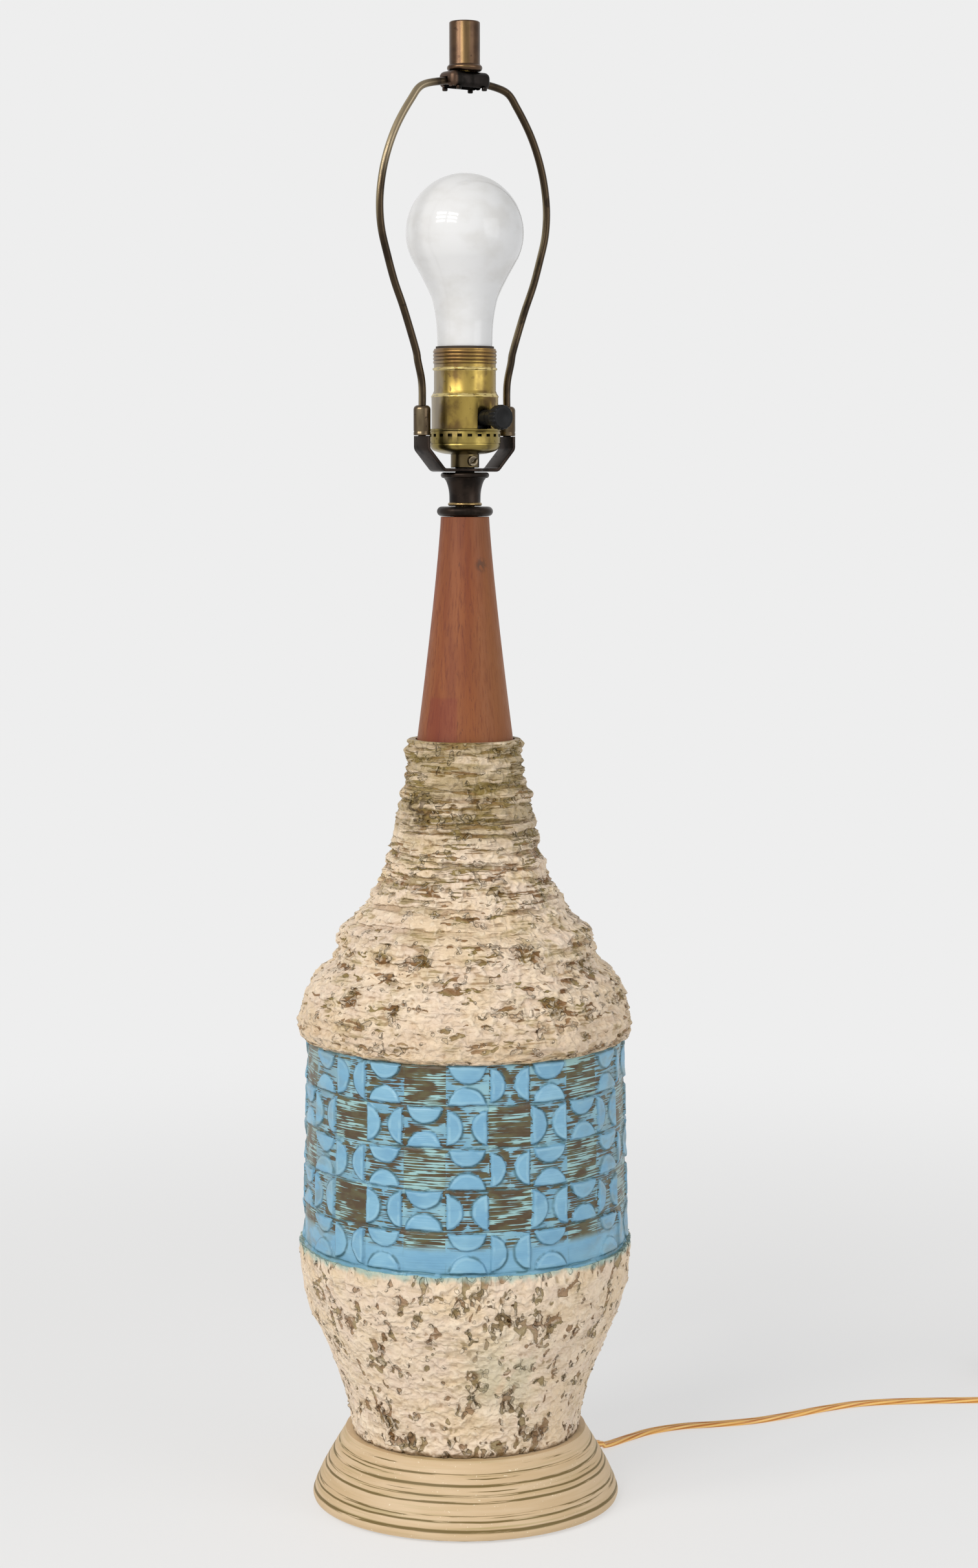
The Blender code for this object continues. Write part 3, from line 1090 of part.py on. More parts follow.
def make_cord(parts, cutters, finishes):
    """Free cord on the table, its coil and tie, the tail and the two-blade plug."""
    start_radius = cord_exit_radius() + GAP
    start = Vector((math.cos(CORD_EXIT_TURN), math.sin(CORD_EXIT_TURN), 0)) * start_radius
    route = [start + Vector(place) for place in CORD_ROUTE]
    free = even_points(smooth_points(route, 12), CORD_WIDTH * CORD_SPACING_SHARE)
    free[-1] = free[-1] - (free[-1] - free[-2]).normalized() * GAP
    tube("cord_free", free, CORD_RADIUS, finishes["cord"], parts)

    end = route[-1]
    pitch = CORD_WIDTH + CORD_TURN_SPACE
    outer = COIL_INNER_RADIUS + COIL_TURNS_IN * pitch
    centre = (end.x + CORD_WIDTH, end.y + outer)
    coil = coil_points(centre, -math.pi / 2, end.z)
    tube("cord_coil", coil, CORD_RADIUS, finishes["cord"], parts, resolution=1)

    heading = (coil[-1] - coil[-2]).normalized()
    heading.z = 0
    start = coil[-1] + heading * GAP
    plug_height = PLUG_THICKNESS / 2
    drop = start.z - plug_height
    tail = [start + heading * CORD_TAIL_RUN * along - Vector((0, 0, drop)) * fall
            for along, fall in CORD_TAIL_SHARES]
    tube("cord_tail", smooth_points(tail, 2), CORD_RADIUS, finishes["cord"], parts)

    least = least_gap(coil, CORD_RADIUS, COIL_STEPS // 2)
    total = line_length(free) + line_length(coil) + line_length(tail)
    print("least gap of the coil to itself, mm:", round(least * 1000, 3))
    print("cord length from the foot to the plug, m:", round(total, 3))

    make_tie(parts, finishes, centre, end.z)
    make_plug(parts, cutters, finishes, tail[-1] + heading * GAP, heading)


def make_tie(parts, finishes, centre, low):
    """A strap round the coil's turns at one place."""
    pitch = CORD_WIDTH + CORD_TURN_SPACE
    inner = COIL_INNER_RADIUS - CORD_RADIUS - GAP
    outer = COIL_INNER_RADIUS + COIL_TURNS_OUT * pitch + CORD_RADIUS + GAP
    bottom = low - CORD_RADIUS - GAP
    top = low + pitch + CORD_RADIUS + GAP
    rounding = CORD_RADIUS / 2
    corners = [((inner + outer) / 2, bottom), (outer, bottom), (outer, top), (inner, top), (inner, bottom),
               ((inner + outer) / 2, bottom)]
    loop = rounded_line(corners, rounding, 3)[:-1]
    mesh = bpy.data.meshes.new("cord_tie")
    points = [(place.x, side * TIE_WIDTH / 2, place.y) for side in (-1, 1) for place in loop]
    count = len(loop)
    faces = [(i, (i + 1) % count, count + (i + 1) % count, count + i) for i in range(count)]
    mesh.from_pydata(points, [], faces)
    tie = add_object("cord_tie", mesh, finishes["tie"], parts)
    tie.location = (centre[0], centre[1], 0)
    tie.rotation_euler = (0, 0, TIE_TURN)
    wall = tie.modifiers.new("wall", "SOLIDIFY")
    wall.thickness = TIE_THICKNESS
    wall.offset = -1.0


def make_plug(parts, cutters, finishes, start, heading):
    """Moulded two-blade plug lying on the table."""
    half = PLUG_WIDTH / 2
    nose = PLUG_NOSE_WIDTH / 2
    outline = [(-nose, 0), (nose, 0), (half, PLUG_SHOULDER), (half, PLUG_LENGTH), (-half, PLUG_LENGTH),
               (-half, PLUG_SHOULDER)]
    plug = flat_piece("plug_body", outline, PLUG_THICKNESS, finishes["plug"], parts)
    turn = math.atan2(heading.y, heading.x) - math.pi / 2
    place = Matrix.Translation(start) @ Matrix.Rotation(turn, 4, "Z")
    plug.matrix_world = place
    rounded(plug, PLUG_ROUNDING)
    for side, word in ((-1, "left"), (1, "right")):
        x = side * BLADE_SPACING / 2
        pocket_size = (BLADE_THICKNESS + 2 * GAP, 2 * BLADE_GRIP, BLADE_WIDTH + 2 * GAP)
        pocket = block("blade_pocket_" + word, pocket_size, (0, 0, 0), None, cutters)
        pocket.matrix_world = place @ Matrix.Translation((x, PLUG_LENGTH, 0))
        combine(plug, as_cutter(pocket), "DIFFERENCE")
        length = BLADE_LENGTH + BLADE_GRIP - GAP
        blade = block("plug_blade_" + word, (BLADE_THICKNESS, length, BLADE_WIDTH), (0, 0, 0),
                      finishes["brass"], parts)
        middle = PLUG_LENGTH - BLADE_GRIP + GAP + length / 2
        blade.matrix_world = place @ Matrix.Translation((x, middle, 0))


def make_finishes():
    """The lamp's finishes, as plain colours."""
    return {
        "felt": material("felt", (0.10, 0.16, 0.10), 0.95),
        "foot": material("painted_foot", (0.62, 0.50, 0.34), 0.55),
        "rubber": material("grommet_rubber", (0.06, 0.05, 0.04), 0.7),
        "ceramic": material("lava_glaze", (0.66, 0.53, 0.40), 0.7),
        "wood": material("neck_wood", (0.36, 0.13, 0.06), 0.45),
        "dark_metal": material("dark_metal", (0.03, 0.025, 0.02), 0.4, metallic=0.8),
        "black_metal": material("black_metal", (0.015, 0.013, 0.012), 0.5, metallic=0.6),
        "antique_brass": material("antique_brass", (0.26, 0.20, 0.12), 0.35, metallic=1.0),
        "aged_brass": material("aged_brass", (0.36, 0.22, 0.10), 0.35, metallic=1.0),
        "bright_brass": material("bright_brass", (0.62, 0.45, 0.12), 0.28, metallic=1.0),
        "brass": material("plain_brass", (0.60, 0.44, 0.16), 0.35, metallic=1.0),
        "steel": material("plated_steel", (0.55, 0.55, 0.55), 0.35, metallic=1.0),
        "zinc": material("zinc_rod", (0.45, 0.45, 0.46), 0.45, metallic=1.0),
        "aluminium": material("bulb_cap_aluminium", (0.75, 0.75, 0.76), 0.35, metallic=1.0),
        "solder": material("solder", (0.5, 0.5, 0.52), 0.5, metallic=1.0),
        "phenolic": material("black_phenolic", (0.012, 0.012, 0.013), 0.35),
        "card": material("liner_card", (0.30, 0.22, 0.14), 0.9),
        "bulb_glass": material("coated_glass", (0.86, 0.86, 0.86), 0.12),
        "clear_glass": material("clear_glass", (0.9, 0.9, 0.9), 0.05, transmission=1.0),
        "cord": material("gold_cord", (0.72, 0.42, 0.10), 0.35),
        "tie": material("tie_band", (0.04, 0.04, 0.04), 0.6),
        "plug": material("plug_moulding", (0.35, 0.18, 0.05), 0.4),
    }


clear_file()
lamp = new_collection("fat_lava_table_lamp")
helpers = new_collection("cutters")
looks = make_finishes()
harp_plane = add_axis("harp_plane", (0, 0, 0), HARP_TURN, lamp)
socket_frame = add_axis("socket_frame", (0, 0, SOCKET_SEAT), HARP_TURN, lamp)
make_foot(lamp, helpers, looks)
make_rod(lamp, helpers, looks)
make_body(lamp, looks)
make_neck(lamp, looks)
make_saddle(lamp, helpers, looks, harp_plane)
make_socket(lamp, helpers, looks, socket_frame)
make_switch(lamp, looks, socket_frame)
make_bulb(lamp, looks, socket_frame)
make_harp(lamp, helpers, looks, harp_plane)
make_finial(lamp, looks, harp_plane)
make_inner_lead(lamp, looks)
make_cord(lamp, helpers, looks)
bpy.context.view_layer.update()
print("height of the lamp, m:", round(FINIAL_SEAT + FINIAL_HEIGHT, 4))
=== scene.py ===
"""Looks of a tall ceramic table lamp, made round its packed construction, in metres with +Z up.

The lamp is put together from the table upwards: cord, foot, ceramic body, wooden neck, spacer and
saddle, brass socket, bulb, harp and finial. Each section makes one piece or a few like ones.
"""
import math

import bmesh
import bpy
import numpy as np
from mathutils import Matrix, Vector


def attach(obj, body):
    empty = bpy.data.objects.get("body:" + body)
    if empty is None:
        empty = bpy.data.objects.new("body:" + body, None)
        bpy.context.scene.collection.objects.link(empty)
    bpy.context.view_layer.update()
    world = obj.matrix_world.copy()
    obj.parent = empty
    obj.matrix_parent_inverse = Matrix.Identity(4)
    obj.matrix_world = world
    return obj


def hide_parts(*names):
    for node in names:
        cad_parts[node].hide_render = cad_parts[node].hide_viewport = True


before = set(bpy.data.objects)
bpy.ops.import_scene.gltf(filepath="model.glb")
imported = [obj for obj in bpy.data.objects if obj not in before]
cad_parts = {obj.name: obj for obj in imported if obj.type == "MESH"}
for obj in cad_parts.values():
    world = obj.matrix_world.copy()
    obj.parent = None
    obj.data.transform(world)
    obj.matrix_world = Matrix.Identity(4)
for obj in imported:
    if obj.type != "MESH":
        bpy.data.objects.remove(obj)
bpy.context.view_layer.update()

# Photograph's view: the camera stands in front of the lamp at the height of its socket,
# and looks slightly down. The photograph is 1512 pixels wide and 2424 high.
CAMERA_PLACE = (0.0125, -1.638, 0.545)
CAMERA_DIP = math.radians(5.67)
CAMERA_LENS_MM = 72.03
lens = bpy.data.cameras.new("photo_camera")
lens.lens = CAMERA_LENS_MM
camera = bpy.data.objects.new("photo_camera", lens)
camera.location = CAMERA_PLACE
camera.rotation_euler = (math.radians(90) - CAMERA_DIP, 0, 0)
bpy.context.scene.collection.objects.link(camera)
bpy.context.scene.camera = camera
bpy.context.scene.view_settings.view_transform = "Standard"

# Flat two-core cord: two round strands of clear gold plastic over copper, joined by a thin web.
# It leaves the foot, runs over the table out of view, and its spare length is wound in a coil,
# turned half on edge as such cord is when it is wound by hand. The route is the construction's own.
CORD_WIDTH = 0.0056
CORD_LENGTH = 1.8
STRAND_RADIUS = CORD_WIDTH / 4
STRAND_TWIST = 0.026
STRAND_COUNT = 4
STRAND_STEPS = 12
STRAND_SIDE = 150
CORD_EXIT_RADIUS = 0.07747
CORD_EXIT_TURN = math.radians(45)
CORD_EXIT_RUN = 0.03
CORD_ROUTE = [
    (0.0000, 0.0000, 0.0120), (0.0040, 0.0040, 0.0119), (0.0085, 0.0085, 0.0105), (0.0135, 0.0135, 0.0073),
    (0.0185, 0.0186, 0.0045), (0.0250, 0.0255, 0.0030), (0.0372, 0.0380, 0.0029), (0.0502, 0.0497, 0.0029),
    (0.0682, 0.0587, 0.0029), (0.0892, 0.0632, 0.0029), (0.1102, 0.0692, 0.0029), (0.1312, 0.0797, 0.0029),
    (0.1532, 0.0927, 0.0029), (0.1752, 0.1027, 0.0029), (0.2012, 0.1074, 0.0029), (0.2292, 0.1090, 0.0029),
    (0.2572, 0.1097, 0.0031), (0.2752, 0.1100, 0.0040), (0.2912, 0.1100, 0.0042), (0.3052, 0.1100, 0.0042),
]
COIL_PITCH = CORD_WIDTH + 0.0006
COIL_INNER_RADIUS = 0.0262
COIL_TURNS_IN = 3.0
COIL_TURNS_OUT = 3.25
COIL_CLIMB_TURNS = 0.5
COIL_STEPS = 40
TAIL_RUN = 0.0420
TAIL_SHARES = [(0.0, 0.0), (0.14, 0.0), (0.35, 0.25), (0.60, 0.75), (0.86, 1.0), (1.0, 1.0)]
PLUG_HALF_THICKNESS = 0.0065
COIL_TILT = math.radians(48)
COIL_TILT_SWAY = math.radians(9)
COIL_SWAY_RUN = 0.11
TILT_START = 0.36
TILT_RUN = 0.075
TILT_END = 0.012
STRAP_RIB = 0.0075
PLUG_GRIP = 0.0022
PLUG_GRIPS_END = 0.2720


def place(tree, kind, inputs=None, **settings):
    """Add a node to a tree, with its settings, and feed its inputs from values or patterns."""
    node = tree.nodes.new(kind)
    for name, value in settings.items():
        setattr(node, name, value)
    for name, value in (inputs or {}).items():
        if isinstance(value, Pattern):
            tree.links.new(value.socket, node.inputs[name])
        else:
            node.inputs[name].default_value = value
    return node


def paint(colour):
    """A colour picked in screen values from 0 to 255, as the linear one that shaders use."""
    parts = [value / 255 for value in colour]
    return (*[part / 12.92 if part < 0.04045 else ((part + 0.055) / 1.055) ** 2.4 for part in parts], 1.0)


class Pattern:
    """A number, place or colour that varies over a surface, as one output of a node.

    Each sign or method adds a node to the same tree, and gives what that node puts out.
    """

    def __init__(self, node, output=0):
        self.tree = node.id_data
        self.socket = node.outputs[output]

    def step(self, operation, *others):
        """One step of arithmetic on numbers."""
        inputs = dict(enumerate((self, *others)))
        return Pattern(place(self.tree, "ShaderNodeMath", inputs, operation=operation))

    def vector(self, operation, *others):
        """One step of arithmetic on places, which puts out a place or a number."""
        inputs = dict(enumerate((self, *others)))
        node = place(self.tree, "ShaderNodeVectorMath", inputs, operation=operation)
        return Pattern(node, "Value" if operation in ("DISTANCE", "DOT_PRODUCT", "LENGTH") else "Vector")

    def __add__(self, other):
        return self.step("ADD", other)

    def __sub__(self, other):
        return self.step("SUBTRACT", other)

    def __rsub__(self, other):
        return self.step("MULTIPLY_ADD", -1.0, other)

    def __mul__(self, other):
        return self.step("MULTIPLY", other)

    def __abs__(self):
        return self.step("ABSOLUTE")

    def parts(self):
        """The three numbers of a place: X, Y and Z."""
        node = place(self.tree, "ShaderNodeSeparateXYZ", {0: self})
        return [Pattern(node, i) for i in range(3)]

    def ramped(self, low, high, to_low=0.0, to_high=1.0):
        """A number carried smoothly from one range to another, and held at its ends."""
        inputs = {0: self, 1: low, 2: high, 3: to_low, 4: to_high}
        return Pattern(place(self.tree, "ShaderNodeMapRange", inputs, interpolation_type="SMOOTHSTEP"))

    def grain(self, across, up=None, detail=2.0, roughness=0.5, seed=0.0):
        """Soft random values round a place, whose spots have one size across and one along Z."""
        scales = (1 / across, 1 / across, 1 / (up or across))
        scaled = self.vector("MULTIPLY_ADD", scales, (seed * 7.31, seed * 3.17, seed * 5.53))
        inputs = {"Vector": scaled, "Scale": 1.0, "Detail": detail, "Roughness": roughness}
        return Pattern(place(self.tree, "ShaderNodeTexNoise", inputs))

    def between(self, first, second):
        """Two colours mixed by a share; each may be a screen colour or a pattern."""
        colours = [value if isinstance(value, Pattern) else paint(value) for value in (first, second)]
        inputs = {0: self, 6: colours[0], 7: colours[1]}
        return Pattern(place(self.tree, "ShaderNodeMix", inputs, data_type="RGBA"), 2)

    def under(self, *coats):
        """A colour under others, each of which lies on it by a share."""
        colour = self
        for share, coat_colour in coats:
            colour = share.between(colour, coat_colour)
        return colour


class Finish:
    """A new material: its own shader takes every value that is the same all over."""

    def __init__(self, name, colour, roughness, metallic=0.0, **sockets):
        self.material = bpy.data.materials.new(name)
        self.material.use_nodes = True
        self.tree = self.material.node_tree
        self.shader = self.tree.nodes["Principled BSDF"]
        self.colour = None
        sockets |= {"base_color": paint(colour), "roughness": roughness, "metallic": metallic}
        for socket, value in sockets.items():
            name = socket.replace("_", " ").title().replace("Ior", "IOR")
            self.shader.inputs[name].default_value = value

    def places(self):
        """Where each point of the surface lies in the lamp."""
        return Pattern(place(self.tree, "ShaderNodeTexCoord"), "Object")

    def kept(self, name, output="Fac"):
        """What a mesh keeps at its points under a name."""
        return Pattern(place(self.tree, "ShaderNodeAttribute", attribute_name=name), output)

    def dress(self, colour=None, roughness=None, relief=None, depth=0.0, strength=1.0):
        """Feed the shader with patterns of its colour, its roughness and fine relief of a real depth."""
        if relief:
            inputs = {"Height": relief, "Distance": depth, "Strength": strength}
            relief = Pattern(place(self.tree, "ShaderNodeBump", inputs))
        for socket, pattern in (("Base Color", colour), ("Roughness", roughness), ("Normal", relief)):
            if pattern:
                self.tree.links.new(pattern.socket, self.shader.inputs[socket])
        self.colour = colour or self.colour

    def overlay(self, *coats):
        """Lay other colours over the colour so far."""
        self.dress(self.colour.under(*coats))


def arc(centre, radius, start, end, steps, rise=None):
    """Points of an arc between two turns in degrees, or of an ellipse where its rise is given."""
    turns = [math.radians(start + (end - start) * i / steps) for i in range(steps + 1)]
    return [(centre[0] + radius * math.cos(turn), centre[1] + (rise or radius) * math.sin(turn))
            for turn in turns]


def smooth_line(points, spans):
    """Points on a smooth curve through the given ones."""
    given = np.asarray(points, dtype=float)
    given = np.vstack([2 * given[0] - given[1], given, 2 * given[-1] - given[-2]])
    part = np.linspace(0, 1, spans, endpoint=False)[:, None]
    pieces = []
    for before, start, end, after in zip(given[:-3], given[1:-2], given[2:-1], given[3:]):
        pieces.append(0.5 * (2 * start + (end - before) * part
                             + (2 * before - 5 * start + 4 * end - after) * part ** 2
                             + (3 * start - before - 3 * end + after) * part ** 3))
    return np.vstack([*pieces, given[-2]])


def even_line(points, step):
    """The same line with its points an even distance apart."""
    points = np.asarray(points, dtype=float)
    lengths = np.concatenate([[0], np.cumsum(np.linalg.norm(np.diff(points, axis=0), axis=1))])
    marks = np.linspace(0, lengths[-1], max(2, round(lengths[-1] / step)) + 1)
    return np.column_stack([np.interp(marks, lengths, column) for column in points.T])


def new_piece(name, points, faces, finish, sharp=math.radians(35)):
    """A mesh object at the origin, with its place in its points."""
    mesh = bpy.data.meshes.new(name)
    mesh.from_pydata([tuple(point) for point in points], [], faces)
    shape = bmesh.new()
    shape.from_mesh(mesh)
    bmesh.ops.recalc_face_normals(shape, faces=shape.faces)
    shape.to_mesh(mesh)
    shape.free()
    mesh.materials.append(finish.material)
    mesh.shade_smooth()
    mesh.set_sharp_from_angle(angle=sharp)
    piece = bpy.data.objects.new(name, mesh)
    bpy.context.scene.collection.objects.link(piece)
    return piece


def keep_values(piece, name, values):
    """Store a number at each point of a piece, for its material."""
    kept = piece.data.attributes.new(name, "FLOAT", "POINT").data
    kept.foreach_set("value", np.asarray(values, dtype=np.float32))


def swept(name, line, sides, section, finish, turns=0.0):
    """A closed bar: a section carried along a line, its first axis along one side or each point's own."""
    line = np.asarray(line, dtype=float)
    ahead = np.gradient(line, axis=0)
    ahead /= np.linalg.norm(ahead, axis=1)[:, None]
    sides = np.broadcast_to(np.asarray(sides, dtype=float), line.shape)
    sides = sides - (sides * ahead).sum(axis=1)[:, None] * ahead
    sides /= np.linalg.norm(sides, axis=1)[:, None]
    ups = np.cross(ahead, sides)
    turns = np.broadcast_to(turns, len(line))[:, None]
    sides, ups = np.cos(turns) * sides + np.sin(turns) * ups, np.cos(turns) * ups - np.sin(turns) * sides
    section = np.asarray(section, dtype=float)
    points = line[:, None] + sides[:, None] * section[None, :, :1] + ups[:, None] * section[None, :, 1:]
    count, across = len(line), len(section)
    faces = [(i + j, i + (j + 1) % across, i + across + (j + 1) % across, i + across + j)
             for i in range(0, (count - 1) * across, across) for j in range(across)]
    faces += [tuple(range(across)), tuple(range((count - 1) * across, count * across))]
    return new_piece(name, points.reshape(-1, 3), faces, finish)


def cord_line():
    """The cord's centre line from the foot to the plug."""
    start = np.array([math.cos(CORD_EXIT_TURN), math.sin(CORD_EXIT_TURN), 0]) * CORD_EXIT_RADIUS
    free = smooth_line(np.array(CORD_ROUTE) + start, 12)
    end = free[-1]
    outer = COIL_INNER_RADIUS + COIL_TURNS_IN * COIL_PITCH
    centre = end[:2] + (CORD_WIDTH, outer)
    total = COIL_TURNS_IN + COIL_TURNS_OUT
    turns = np.linspace(0, total, round(total * COIL_STEPS) + 1)
    radius = outer + COIL_PITCH * (np.maximum(turns - COIL_TURNS_IN, 0) - np.minimum(turns, COIL_TURNS_IN))
    climb = np.clip((turns - COIL_TURNS_IN) / COIL_CLIMB_TURNS + 1 / 2, 0, 1)
    angle = math.tau * turns - math.pi / 2
    coil = np.column_stack([centre[0] + radius * np.cos(angle), centre[1] + radius * np.sin(angle),
                            end[2] + COIL_PITCH * climb * climb * (3 - 2 * climb)])
    heading = np.array([-math.sin(angle[-1]), math.cos(angle[-1]), 0])
    tail_start = coil[-1] + heading * CORD_WIDTH
    drop = np.array([0, 0, tail_start[2] - PLUG_HALF_THICKNESS])
    tail = [tail_start + heading * TAIL_RUN * along - drop * fall for along, fall in TAIL_SHARES]
    return even_line(np.vstack([free, coil, smooth_line(tail, 6)]), CORD_WIDTH / 3)


# Copper strands show through the clear plastic. The creases where the strands meet the web carry painted
# shade.
gold_cord = Finish("gold_cord", (214, 140, 52), 0.30, coat_weight=0.15, coat_roughness=0.12, ior=1.5)
slant = gold_cord.kept("along") * (math.tau / STRAND_TWIST) + gold_cord.kept("around") * STRAND_COUNT
strands = slant.step("SINE") * 0.5 + 0.5
copper = strands.ramped(0.2, 0.8).between((196, 118, 34), (252, 206, 122))
cloudy = gold_cord.places().grain(0.02)
gold_cord.dress(copper.under((cloudy.ramped(0.35, 0.65, 0, 0.5), (248, 188, 92)),
                             (gold_cord.kept("crease_shade") * 0.6, (172, 108, 36))))
line = cord_line()
run = np.arange(len(line)) * (CORD_LENGTH / (len(line) - 1))
tilt = np.clip((run - TILT_START) / TILT_RUN, 0, 1) * np.clip((run[-1] - run - TILT_END) / TILT_RUN, 0, 1)
tilt *= COIL_TILT + COIL_TILT_SWAY * np.sin(run / COIL_SWAY_RUN)
line[:, 2] += np.where(run < CORD_EXIT_RUN, 0, STRAND_RADIUS * (1 + np.sin(tilt)) - CORD_WIDTH / 2)
half_section = arc((STRAND_RADIUS, 0), STRAND_RADIUS, -STRAND_SIDE, STRAND_SIDE, STRAND_STEPS)
section = half_section + [(-x, -y) for x, y in half_section]
flat_cord = swept("flat_cord", line, np.cross(np.gradient(line, axis=0), (0, 0, 1)), section, gold_cord, tilt)
keep_values(flat_cord, "along", np.repeat(run, len(section)))
around = [math.atan2(y, abs(x) - STRAND_RADIUS) for x, y in section]
keep_values(flat_cord, "around", np.tile(around, len(line)))
crease_shade = [max(0, 1 - abs(x) / STRAND_RADIUS) for x, y in section]
keep_values(flat_cord, "crease_shade", np.tile(crease_shade, len(line)))
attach(flat_cord, "root")
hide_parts("cord_free", "cord_coil", "cord_tail")


def coat(finish, *names):
    """Give nodes of the construction their finish."""
    for name in names:
        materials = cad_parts[name].data.materials
        materials.clear()
        materials.append(finish.material)


inner_cord = Finish("inner_cord", (206, 138, 58), 0.3)
inner_cord.dress(inner_cord.places().grain(0.004, 0.010).between((194, 122, 46), (220, 154, 72)))
coat(inner_cord, "cord_inner")
strap = Finish("ribbed_strap", (36, 35, 34), 0.5)
where = strap.places()
ribs = place(strap.tree, "ShaderNodeTexWave", {"Vector": where, "Scale": 1 / STRAP_RIB, "Distortion": 0.0},
             bands_direction="DIAGONAL")
strap.dress(where.grain(0.003, 0.002, detail=3).between((30, 29, 29), (50, 48, 46)),
            relief=Pattern(ribs, 1), depth=0.0001)
coat(strap, "cord_tie")
moulding = Finish("plug_moulding", (150, 92, 40), 0.36, coat_weight=0.1, coat_roughness=0.3)
where = moulding.places()
along_plug = where.parts()[1]
grips = (along_plug * (math.tau / PLUG_GRIP)).step("SINE")
moulding.dress(where.grain(0.006, 0.004, detail=3).between((136, 82, 36), (160, 102, 48)),
               relief=grips * along_plug.ramped(PLUG_GRIPS_END, PLUG_GRIPS_END - PLUG_GRIP), depth=0.0004)
coat(moulding, "plug_body")

# Grommet and felt: a turned rubber collar in the cord's hole, and the pressed green felt ring that
# the lamp stands on. The washers and the nut under the foot are plated steel.
GROMMET_BORE = 0.0031
GROMMET_WALL = 0.0014
GROMMET_FLANGE = 0.0014
GROMMET_LENGTH = 0.0110
GROMMET_EASE = 0.0006
GROMMET_GAP = 0.0003
FELT_FIBRE_LENGTH = 0.0011
FELT_FIBRE_WIDTH = 0.0005


def turned(name, outline, sides, finish, **marks):
    """A turned piece: (radius, height) points that run down its outside, spun about Z.

    Each of the marks is a list of values, one for each point, that the piece keeps for its relief.
    """
    turns = np.linspace(0, math.tau, sides, endpoint=False)
    points = []
    rings = []
    for radius, height in outline:
        count = sides if radius > 0 else 1
        rings.append([len(points) + i % count for i in range(sides)])
        points += [(radius * math.cos(turn), radius * math.sin(turn), height) for turn in turns[:count]]
    faces = []
    for upper, lower in zip(rings, rings[1:] + rings[:1]):
        for j in range(sides):
            k = (j + 1) % sides
            corners = tuple(dict.fromkeys((upper[j], lower[j], lower[k], upper[k])))
            if len(corners) > 2:
                faces.append(corners)
    piece = new_piece(name, points, faces, finish)
    for mark, values in marks.items():
        keep_values(piece, mark, np.repeat(values, sides))
    return piece


def eased(outline, radius, steps=4):
    """An outline with each corner rounded as far as its neighbours leave room, but for ends on the axis."""
    places = [Vector(point) for point in outline]
    result = []
    for i, corner in enumerate(places):
        if corner.x == 0:
            result.append(tuple(corner))
            continue
        before = places[i - 1] - corner
        after = places[(i + 1) % len(places)] - corner
        reach = min(radius, before.length * 0.45, after.length * 0.45)
        start = corner + before.normalized() * reach
        end = corner + after.normalized() * reach
        for step in range(steps + 1):
            part = step / steps
            result.append(tuple(start * (1 - part) ** 2 + corner * 2 * part * (1 - part) + end * part ** 2))
    return result


def disc(radius, top, low):
    """The outline of a plain disc."""
    return [(0, top), (radius, top), (radius, low), (0, low)]


def stood(piece, matrix):
    """Move a mesh to its place in the lamp."""
    piece.data.transform(matrix)
    return piece


def along_axis(start, direction):
    """The matrix that lays a piece turned about Z along a direction, from a start point."""
    return Matrix.Translation(start) @ Vector(direction).to_track_quat("Z", "Y").to_matrix().to_4x4()


def keep_result(piece):
    """Make the result of a piece's modifiers its own plain mesh."""
    graph = bpy.context.evaluated_depsgraph_get()
    mesh = bpy.data.meshes.new_from_object(piece.evaluated_get(graph), preserve_all_data_layers=True,
                                           depsgraph=graph)
    piece.modifiers.clear()
    piece.data = mesh


def cut(piece, other, operation="DIFFERENCE"):
    """Cut another mesh out of a piece, or join it on by a UNION, and remove the other."""
    change = piece.modifiers.new("cut", "BOOLEAN")
    change.operation = operation
    change.object = other
    keep_result(piece)
    bpy.data.objects.remove(other, do_unlink=True)


exit_way = Vector((math.cos(CORD_EXIT_TURN), math.sin(CORD_EXIT_TURN), 0))
exit_place = exit_way * CORD_EXIT_RADIUS + Vector((0, 0, CORD_ROUTE[0][2]))
rubber = Finish("grommet_rubber", (52, 44, 36), 0.62)
rubber.dress(relief=rubber.places().grain(0.0004), depth=0.00005)
outer = GROMMET_BORE + GROMMET_WALL
collar = [(GROMMET_BORE, 0), (outer + GROMMET_FLANGE, 0), (outer + GROMMET_FLANGE, -GROMMET_FLANGE),
          (outer, -GROMMET_FLANGE), (outer, -GROMMET_LENGTH), (GROMMET_BORE, -GROMMET_LENGTH)]
grommet = turned("rubber_grommet", eased(collar, GROMMET_EASE), 48, rubber)
stood(grommet, along_axis(exit_place - exit_way * GROMMET_GAP, exit_way))
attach(grommet, "root")
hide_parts("cord_grommet")

felt = Finish("green_felt", (54, 78, 52), 0.95, sheen_weight=0.6)
shrunk = felt.places().vector("MULTIPLY", (FELT_FIBRE_WIDTH / FELT_FIBRE_LENGTH, 1, 1))
fibres = shrunk.grain(FELT_FIBRE_WIDTH, detail=4)
felt.dress(fibres.ramped(0.35, 0.65).between((40, 62, 40), (72, 98, 66)), relief=fibres, depth=0.0004)
coat(felt, "felt_ring")

